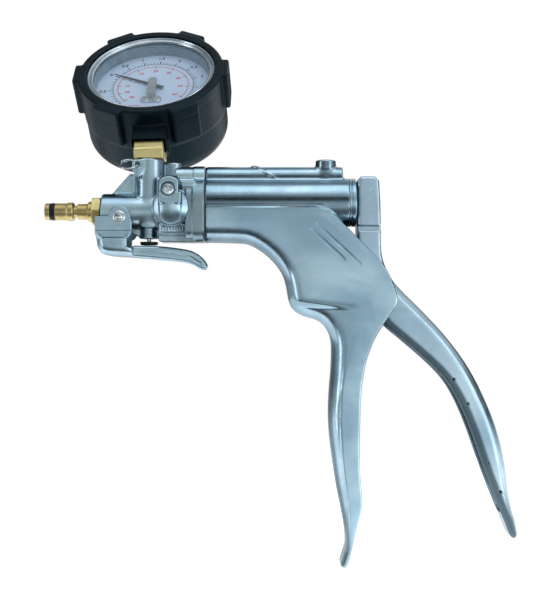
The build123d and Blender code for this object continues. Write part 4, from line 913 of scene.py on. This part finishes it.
def f_lever(x, y, z):
    ay = np.abs(y)
    a = O_LEVER(x, z)
    # side wall: flat ear, three soft steps, then a wide turn under
    bead = 0.28 * np.exp(-((z + 9.3) / 0.42) ** 2) + 0.22 * np.exp(-((z + 11.3) / 0.5) ** 2)
    T_cup = 10.6 - 0.30 * sstep((-8.6 - z) / 0.5) + bead - 0.35 * sstep((-12.6 - z) / 0.8)
    arm = 6.4 - 0.040 * (x - 43.4)
    w = sstep((x - 42.7) / 0.9) * sstep((-12.6 - z) / 0.6)
    T = T_cup * (1 - w) + arm * w
    low = sstep((-9.5 - z) / 4.5)
    r = 0.45 + 4.4 * low * (1 - w) + 1.1 * w
    d = rmax(a, ay - T, r)
    hol = rmax(O_LHOL(x, z), ay - 9.2, 0.3 + 3.4 * low)
    d = cut(d, hol, 0.3)
    d = cut(d, rmax(rmax(O_LCHAN(x, z), ay - 3.6, 0.5), 43.0 - x, 0.1), 0.4)
    # groove along each side of the arm
    for s in (1, -1):
        g = np.minimum(capsule(x, y * s, z, (46.0, 6.55, -19.1), (62.0, 5.95, -20.5), 0.45),
                       np.minimum(capsule(x, y * s, z, (62.0, 5.95, -20.5), (70.5, 5.55, -22.1), 0.45),
                                  capsule(x, y * s, z, (70.5, 5.55, -22.1), (75.0, 5.3, -25.2), 0.55)))
        d = cut(d, g, 0.15)
    d = cut(d, rmax(mag(y, z) - 8.4, slab(x, 18.0, 27.2), 0.1), 0.3)
    d = cut(d, rmax(mag(x - 37.0, z + 3.3) - 1.55, slab(y, -20, 20), 0.1), 0.2)
    return d


solid("release_lever_cast", f_lever, (25.3, -10.7, -28.4), (78.3, 10.7, 2.2), 0.38, M_LEVER, "release_lever", ("release_lever",))


def f_rivets(x, y, z):
    ay = np.abs(y)
    rr = mag(x - 37.0, z + 3.3)
    face = 12.0 - 0.075 * rr * rr
    # spun head: a low dome with a shallow rolled ring, lower on one side
    ring = 0.22 * np.exp(-((rr - 1.55) / 0.32) ** 2) * (0.55 + 0.45 * np.sin(np.arctan2(z + 3.3, x - 37.0) + 2.6))
    head = rmax(rr - 2.95, np.maximum(10.68 - ay, ay - face + ring), 0.22)
    shank = rmax(rr - 1.5, slab(ay, 3.8, 11.0), 0.2)
    return np.minimum(head, shank)


solid("rivets_spun", f_rivets, (34.0, -12.05, -6.3), (40.0, 12.05, -0.3), 0.2, M_STEEL, "pump", ("lever_rivets",))


# =====================================================================================================
# rear handle
# =====================================================================================================
def f_handle(x, y, z):
    ay = np.abs(y)
    a = O_HANDLE(x, z)
    w = sstep((O_HIN(x, z) - O_HOUT(x, z) + 2.0) / 6.0) * sstep((-22.0 - z) / 14.0)
    r = 1.5 + 4.2 * w
    taper = 1.2 * sstep((-90.0 - z) / 60.0)
    T = 8.5 - taper
    d = rmax(a, ay - T, r)
    d = cut(d, rmax(O_HHOLLOW(x, z), ay - (T - 2.5), 2.4), 0.9)
    d = np.minimum(d, rod(y, x, z, -8.5, 8.5, 155.0, -34.6, 8.0, 0.6))
    # gap for the rod's eye, slots, pin hole
    d = cut(d, rmax(ay - 3.5, np.maximum(slab(x, 140.0, 159.4), slab(z, 0.3, 13.8)), 0.2), 0.4)
    d = cut(d, rmax(ay - 6.3, np.maximum(np.abs(x - 155.0) - 2.75, slab(z, 1.4, 13.0)), 0.2), 0.2)
    d = cut(d, rmax(mag(x - 155.0, z + 34.6) - 2.55, slab(y, -20, 20), 0.1), 0.2)
    # shallow groove across the lug
    d = cut(d, rmax(np.abs(z + 8.6) - 1.35, 7.4 - ay, 0.25), 0.25)
    # ejector marks along the inner lip, two on the lug
    for px, pz in ((194.9, -80.5), (201.6, -92.0), (207.4, -105.4), (211.7, -120.3), (217.5, -134.2)):
        d = cut(d, ball(x, ay, z, (px + 1.0, 8.2 - (1.2 if pz < -100 else 0.4), pz), 0.75), 0.2)
    for px, pz in ((157.0, 9.2), (157.0, 0.1)):
        d = cut(d, block(x, y, z, (px - 0.7, -8.9, pz - 0.25), (px + 0.7, -8.25, pz + 0.25), 0.1), 0.15)
    return d


# painted shade along the inner lip of the grip's side walls, which the mask also roughens as cast skin
solid("handle_casting", f_handle, (147.0, -8.5, -156.8), (227.4, 8.5, 16.3), 0.55, M_HANDLE, "handle", ("actuating_handle",),
      skin_and_shade=lambda x, y, z: sstep((4.4 - O_HIN(x, z)) / 1.6) * sstep((-42.0 - z) / 8.0) * sstep((np.abs(y) - 4.0) / 1.5))

# =====================================================================================================
# gauge: local frame (u, v, h) at the gauge's centre
# =====================================================================================================
gn = Vector((-0.0454, -0.7072, 0.7055)).normalized()
gx = (Vector((1, 0, 0)) - gn * gn.x).normalized()
gy = gn.cross(gx)
LEAN = math.radians(1.98)
sdir = gy * math.cos(LEAN) - gx * math.sin(LEAN)
sxd = gx * math.cos(LEAN) + gy * math.sin(LEAN)
OFF = 49.3
bend = Vector((50.4, 0, 27.0))
gc = bend + sdir * OFF
GM = Matrix((gx, gy, gn)).transposed().to_4x4()
GM.translation = gc
GI = GM.inverted()


def f_boot(u, v, h):
    rr = mag(u, v)
    # plain body: rounded back, small front edge
    wall = rmax(rr - 36.85, -26.5 - h, 10.5)
    d = rmax(wall, h - 17.0, 1.1)
    # upper part stands a little proud of the lower, with a moulded step between
    d = d + 0.32 * sstep((-4.6 - h) / 0.9)
    # six lugs
    ang = np.arctan2(v, u)
    k = np.round(ang / (math.pi / 3)) * (math.pi / 3)
    lu = u * np.cos(k) + v * np.sin(k)
    lv = -u * np.sin(k) + v * np.cos(k)
    lug = rmax(rmax(lu - 39.4, np.abs(lv) - 7.5, 1.3), np.maximum(slab(h, -3.0, 16.9), 30.0 - lu), 0.9)
    d = rmin(d, lug, 0.7)
    # collar round the stem
    su = u * math.cos(LEAN) + v * math.sin(LEAN)
    wy = v * math.cos(LEAN) - u * math.sin(LEAN) + OFF
    col = rmax(rmax(np.abs(su) - 8.1, np.abs(h) - 8.6, 0.7), slab(wy, -4.6, 17.0), 0.8)
    # stay behind the stem's upright front face and above the column
    X = gc.x + u * gx.x + v * gy.x + h * gn.x
    Y = gc.y + u * gx.y + v * gy.y + h * gn.y
    Z = gc.z + u * gx.z + v * gy.z + h * gn.z
    col = rmax(col, -7.2 - Y, 0.3)
    col = rmax(col, 29.0 - Z, 0.3)
    d = rmin(d, col, 0.8)
    # inside
    d = cut(d, rmax(rr - 33.1, slab(h, -18.45, 16.3), 0.8), 0.2)
    d = cut(d, rmax(rr - 32.35, slab(h, 9.0, 30.0), 0.1), 0.5)
    d = cut(d, rmax(rr - 22.0, slab(h, -34.0, -17.0), 0.1), 0.6)
    stem = rmax(np.abs(su) - 7.06, np.maximum(np.abs(h) - 7.06, slab(wy, -20.0, 18.2)), 0.1)
    d = cut(d, stem, 0.25)
    # moulded line round the body
    d = d + 0.12 * np.exp(-((h - 10.6) / 0.35) ** 2) * (rr > 35.0)
    return d


solid("boot_moulded", f_boot, (-39.6, -46.6, -26.6), (39.6, 39.6, 17.1), 0.68, M_RUBBER, "pump", ("gauge_boot",), M=GM)


def f_stem(x, y, z):
    q = (x - bend.x, y - bend.y, z - bend.z)
    u = q[0] * sxd.x + q[1] * sxd.y + q[2] * sxd.z
    w = q[0] * sdir.x + q[1] * sdir.y + q[2] * sdir.z
    h = q[0] * gn.x + q[1] * gn.y + q[2] * gn.z
    d = rmax(rmax(np.abs(u) - 7.0, np.abs(h) - 7.0, 0.5), slab(w, -12.0, 18.0), 0.3)
    d = rmax(d, -7.0 - y, 0.35)
    d = rmax(d, 25.05 - z, 0.35)
    shank = rod(z, x, y, 13.2, 26.0, 50.4, 0.0, 4.7, 0.4)
    d = np.minimum(d, shank)
    sock = rmax(np.maximum(np.abs(u) - 5.5, np.abs(h) - 5.0), slab(w, 15.0, 31.8), 0.3)
    return np.minimum(d, sock)


slo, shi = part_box("gauge_stem")
solid("stem_bar", f_stem, tuple(v / MM for v in slo), tuple(v / MM for v in shi), 0.4, M_STEM, "pump", ("gauge_stem",))

turned("bezel_rolled", [(10.1, 33.0), (15.1, 33.0), (15.75, 32.75), (16.05, 32.2), (16.0, 31.6), (15.6, 31.25), (15.0, 31.15), (14.85, 30.95),
                        (15.25, 30.75), (15.4, 30.3), (15.3, 29.85), (14.95, 29.5), (14.6, 29.4), (14.6, 30.9), (10.1, 30.9)],
       gc, gn, gx, M_BRIGHT, "pump", ("gauge_bezel",), seg=200, r=0.14)

turned("spacer_ring_lined", [(7.3, 30.6), (12.9, 30.6), (12.9, 29.15), (12.2, 29.15), (12.0, 29.5), (11.6, 29.5), (11.4, 29.15), (10.6, 29.15),
                             (10.4, 29.5), (10.0, 29.5), (9.8, 29.15), (9.0, 29.15), (8.8, 29.5), (8.4, 29.5), (8.2, 29.15), (7.3, 29.15)],
       gc, gn, gx, M_SPACER, "pump", ("window_gasket",), seg=200, r=0.08)

# split wire ring in the eye
rc = Vector((45.4 - 4.4, -7.0, 22.0))
rz = Vector((0, -0.5736, 0.8192)).normalized()
rx = Vector((1, 0, 0))
ry = rz.cross(rx)
path = []
for k in range(0, 101):
    t = -0.35 + (2 * math.pi + 0.7) * k / 100
    off = (k / 100 - 0.5) * 0.75
    path.append(rc + rx * 4.25 * math.cos(t + 2.2) + ry * 4.25 * math.sin(t + 2.2) + rz * off)
wire("ring_split_wire", path, 0.42, M_SPRING, "wire_ring", ("wire_ring",))

# the two coil springs stand on fixed seats; each gets a mesh of its own
coil = [Vector((92.7 + 46.6 * t, 6.4 * math.cos(2 * math.pi * 7.767 * t), 4.3 + 6.4 * math.sin(2 * math.pi * 7.767 * t))) for t in [k / 380 for k in range(381)]]
ret = wire("return_spring_coil", coil, 0.6, M_SPRING, "pump", ("return_spring",), seg=12)
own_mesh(ret)
coil = [Vector((50.0 + 1.6 * math.cos(2 * math.pi * 4.8 * t), 1.6 * math.sin(2 * math.pi * 4.8 * t), -9.6 + 4.8 * t)) for t in [k / 240 for k in range(241)]]
rel = wire("release_spring_coil", coil, 0.2, M_SPRING, "pump", ("release_spring",), seg=10)
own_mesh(rel)


# =====================================================================================================
# dial print: ticks, arcs and numerals as thin raised ink
# =====================================================================================================
class Ink:
    def __init__(self):
        self.V, self.F = [], []

    def slabq(self, pts, h0=7.10, h1=7.14):
        n = len(pts)
        b = len(self.V)
        self.V += [(p[0], p[1], h0) for p in pts] + [(p[0], p[1], h1) for p in pts]
        self.F.append(tuple(reversed(range(b, b + n))))
        self.F.append(tuple(range(b + n, b + 2 * n)))
        for i in range(n):
            j = (i + 1) % n
            self.F.append((b + i, b + j, b + n + j, b + n + i))

    def tick(self, deg, r0, r1, w):
        a = math.radians(deg)
        c, s = math.cos(a), math.sin(a)
        self.slabq([(r0 * c + w / 2 * s, r0 * s - w / 2 * c), (r1 * c + w / 2 * s, r1 * s - w / 2 * c),
                    (r1 * c - w / 2 * s, r1 * s + w / 2 * c), (r0 * c - w / 2 * s, r0 * s + w / 2 * c)])

    def arc(self, d0, d1, r, w, step=2.0):
        n = max(2, int(abs(d1 - d0) / step))
        a = [math.radians(d0 + (d1 - d0) * i / n) for i in range(n + 1)]
        b = len(self.V)
        for t in a:
            for rad in (r - w / 2, r + w / 2):
                for h in (7.10, 7.14):
                    self.V.append((rad * math.cos(t), rad * math.sin(t), h))
        sgn = 1 if d1 > d0 else -1
        for i in range(n):
            p, q = b + 4 * i, b + 4 * (i + 1)
            for f in ((p + 1, p + 3, q + 3, q + 1), (p, q, q + 2, p + 2), (p, p + 1, q + 1, q), (p + 2, q + 2, q + 3, p + 3)):
                self.F.append(f if sgn > 0 else tuple(reversed(f)))
        for e, rev in ((b, False), (b + 4 * n, True)):
            f = (e, e + 2, e + 3, e + 1)
            if sgn < 0:
                rev = not rev
            self.F.append(tuple(reversed(f)) if rev else f)

    def text(self, s, deg, r, size):
        cu = bpy.data.curves.new("numeral", "FONT")
        cu.body = s
        cu.size = size
        cu.align_x = "CENTER"
        cu.align_y = "CENTER"
        cu.resolution_u = 3
        cu.extrude = 0.02
        cu.offset = 0.08
        o = bpy.data.objects.new("numeral", cu)
        bpy.context.scene.collection.objects.link(o)
        dg = bpy.context.evaluated_depsgraph_get()
        me = bpy.data.meshes.new_from_object(o.evaluated_get(dg))
        a = math.radians(deg)
        b = len(self.V)
        for v in me.vertices:
            self.V.append((r * math.cos(a) + v.co.x, r * math.sin(a) + v.co.y, 7.12 + v.co.z))
        for p in me.polygons:
            self.F.append(tuple(b + i for i in p.vertices))
        bpy.data.objects.remove(o)
        bpy.data.curves.remove(cu)
        bpy.data.meshes.remove(me)

    def done(self, name, mat):
        o = make(name, self.V, self.F, mat, "pump", (), GM, smooth_shade=False)
        bm = bmesh.new()
        bm.from_mesh(o.data)
        bmesh.ops.remove_doubles(bm, verts=bm.verts, dist=1e-7)
        bm.to_mesh(o.data)
        bm.free()
        return o


ZERO = 152.0
BAR = 45.0


def deg_p(p):
    return ZERO - BAR * p if p >= 0 else ZERO - 70.0 * p


black = Ink()
black.arc(deg_p(4.2), deg_p(-1.0), 20.6, 0.26)
i = 0
for k in range(0, 43):
    p = k / 10
    major = k % 5 == 0
    black.tick(deg_p(p), 20.6, 23.2 if major else 22.2, 0.55 if major else 0.32)
for k in range(1, 11):
    major = k % 5 == 0
    black.tick(deg_p(-k / 10), 20.6, 23.2 if major else 22.2, 0.55 if major else 0.32)
for p, s in ((-1.0, "1"), (-0.5, "0.5"), (0.0, "0"), (0.5, "0.5"), (1.0, "1"), (1.5, "1.5"), (2.0, "2"), (2.5, "2.5"), (3.0, "3"), (3.5, "3.5"), (4.0, "4")):
    black.text(s, deg_p(p), 25.9, 3.1)
black.done("dial_scale_black", M_INK)

red = Ink()
red.arc(deg_p(4.2), deg_p(-1.0), 18.0, 0.26)
for k in range(0, 61, 2):
    p = k / 14.5
    major = k % 10 == 0
    red.tick(deg_p(p), 18.0 if not major else 16.4, 18.9 if not major else 18.9, 0.50 if major else 0.28)
for k in range(0, 31, 2):
    p = -k / 30
    major = k % 10 == 0
    red.tick(deg_p(p), 18.0 if not major else 16.4, 18.9, 0.50 if major else 0.28)
for k in (10, 20, 30, 40, 50, 60):
    red.text(str(k), deg_p(k / 14.5), 14.0, 2.7)
for k in (10, 20, 30):
    red.text(str(k), deg_p(-k / 30), 13.6, 2.7)
red.text("0", deg_p(0), 14.0, 2.7)
for i, (a, b, yy) in enumerate(((-13.5, -5.5, -16.6), (-12.5, -6.5, -18.6))):
    red.slabq([(a, yy - 0.22), (b, yy - 0.22), (b, yy + 0.22), (a, yy + 0.22)])
red.done("dial_scale_red", M_RED)

# =====================================================================================================
# materials on the CAD pieces that stay
# =====================================================================================================
KEEP = {
    "head_gasket": M_GASKET, "head_screws": M_STEEL, "valve_cover_gasket": M_GASKET, "inlet_check_valve": M_SEAL,
    "exhaust_check_valve": M_SEAL, "rod_bushing": M_BRONZE, "rod_seal": M_SEAL, "passage_plug": M_STEEL,
    "exhaust_filter": M_BRONZE, "handle_pivot_pin": M_STEEL, "gauge_case": M_BRIGHT, "gauge_window": M_WINDOW,
    "window_gasket": M_SEAL, "gauge_dial": M_DIAL, "movement_frame": M_STEM, "movement_bracket": M_BRACKET,
    "dial_screws": M_BRIGHT, "bourdon_tube": M_BRONZE, "piston_rod": M_BRIGHT, "piston": M_CAP, "piston_seal": M_SEAL,
    "piston_screw": M_STEEL, "rod_cross_pin": M_STEEL, "return_spring": M_SPRING, "release_plunger": M_STEEL,
    "release_pad": M_SEAL, "release_spring": M_SPRING, "sector_gear": M_STEM, "gauge_pointer": M_POINTER, "pointer_arbor": M_STEM,
}
for n, m in KEEP.items():
    me = nodes[n].data
    if len(me.materials) == 0:
        me.materials.append(m)
    for s in range(len(me.materials)):
        me.materials[s] = m

# =====================================================================================================
# floor, light, camera
# =====================================================================================================
FLOOR = cad_lo.z - 0.0004
fm = Mat("floor_pale")
fn = fm.noise(9, 4, 0.5)
fm.link(fm.mix(fm.remap(fn, 0.3, 0.7, 0.0, 1.0), (0.90, 0.905, 0.91), (0.915, 0.92, 0.925)), fm.b.inputs["Base Color"])
fm.link(fm.remap(fm.noise(120, 3, 0.5), 0.3, 0.7, 0.7, 0.8), fm.b.inputs["Roughness"])
fm.b.inputs["Specular IOR Level"].default_value = 0.2
fm.b.inputs["Emission Color"].default_value = (0.95, 0.975, 1.0, 1)
fm.b.inputs["Emission Strength"].default_value = 0.80
bpy.ops.mesh.primitive_grid_add(x_subdivisions=24, y_subdivisions=24, size=1.0, location=(0.12, 0.13, FLOOR))
floor = bpy.context.object
floor.scale = (1.1, 0.42, 1.0)
floor.name = "floor"
floor.data.materials.append(fm.m)


def area(name, loc, target, size, power, color=(1, 1, 1)):
    l = bpy.data.lights.new(name, "AREA")
    l.shape = "RECTANGLE"
    l.size, l.size_y = size
    l.energy = power
    l.color = color
    o = bpy.data.objects.new(name, l)
    o.location = loc
    d = Vector(target) - Vector(loc)
    o.rotation_euler = d.to_track_quat("-Z", "Y").to_euler()
    bpy.context.scene.collection.objects.link(o)
    return o


C = (0.11, 0.0, -0.05)
area("soft_top", (0.05, -0.45, 1.05), C, (1.5, 0.8), 4.2, (0.90, 0.97, 1.0))
area("soft_left", (-0.95, -0.55, 0.10), C, (0.30, 1.1), 2.0, (0.88, 0.96, 1.0))
area("soft_right", (1.05, -0.75, 0.10), C, (0.50, 1.0), 2.2, (0.88, 0.96, 1.0))
area("soft_back", (0.2, 1.1, 0.75), C, (1.4, 0.6), 1.6, (0.92, 0.98, 1.0))

w = bpy.data.worlds.new("studio")
bpy.context.scene.world = w
w.use_nodes = True
nt = w.node_tree
nt.nodes.clear()
out = nt.nodes.new("ShaderNodeOutputWorld")
mixs = nt.nodes.new("ShaderNodeMixShader")
lp = nt.nodes.new("ShaderNodeLightPath")
bg_cam = nt.nodes.new("ShaderNodeBackground")
bg_cam.inputs[0].default_value = (1, 1, 1, 1)
bg_cam.inputs[1].default_value = 1.0
bg = nt.nodes.new("ShaderNodeBackground")
tc = nt.nodes.new("ShaderNodeTexCoord")
sp = nt.nodes.new("ShaderNodeSeparateXYZ")
ramp = nt.nodes.new("ShaderNodeValToRGB")
mr = nt.nodes.new("ShaderNodeMapRange")
mr.inputs[1].default_value = -1.0
mr.inputs[2].default_value = 1.0
nt.links.new(tc.outputs["Generated"], sp.inputs[0])
nt.links.new(sp.outputs[2], mr.inputs[0])
nt.links.new(mr.outputs[0], ramp.inputs[0])
els = ramp.color_ramp.elements
els[0].position, els[0].color = 0.0, (0.07, 0.10, 0.12, 1)
els[1].position, els[1].color = 1.0, (0.28, 0.34, 0.38, 1)
for pos, v in ((0.25, 0.13), (0.36, 0.64), (0.43, 1.10), (0.49, 1.05), (0.525, 0.62), (0.56, 0.14), (0.60, 0.05), (0.67, 0.05), (0.71, 0.55), (0.85, 0.62)):
    e = els.new(pos)
    e.color = (v * 0.90, v * 0.97, v, 1)
# the room is dimmer on the nose's side
dim = nt.nodes.new("ShaderNodeMapRange")
for i, v in ((1, -0.30), (2, 0.10), (3, 0.40), (4, 1.0)):
    dim.inputs[i].default_value = v
nt.links.new(sp.outputs[0], dim.inputs[0])
mul = nt.nodes.new("ShaderNodeVectorMath")
mul.operation = "SCALE"
nt.links.new(ramp.outputs[0], mul.inputs[0])
nt.links.new(dim.outputs[0], mul.inputs["Scale"])
nt.links.new(mul.outputs[0], bg.inputs[0])
bg.inputs[1].default_value = 1.32
nt.links.new(lp.outputs["Is Camera Ray"], mixs.inputs[0])
nt.links.new(bg.outputs[0], mixs.inputs[1])
nt.links.new(bg_cam.outputs[0], mixs.inputs[2])
nt.links.new(mixs.outputs[0], out.inputs[0])

cam_data = bpy.data.cameras.new("camera")
cam = bpy.data.objects.new("camera", cam_data)
cam.location = (0.1116, -0.5, -0.0427)
cam.rotation_euler = (math.pi / 2, 0, 0)
cam_data.lens = 62.0
cam_data.sensor_width = 36.0
cam_data.clip_start = 0.01
bpy.context.scene.collection.objects.link(cam)
bpy.context.scene.camera = cam

sc = bpy.context.scene
sc.view_settings.view_transform = "Standard"
sc.view_settings.look = "None"
sc.view_settings.exposure = 0.0
sc.view_settings.gamma = 1.0
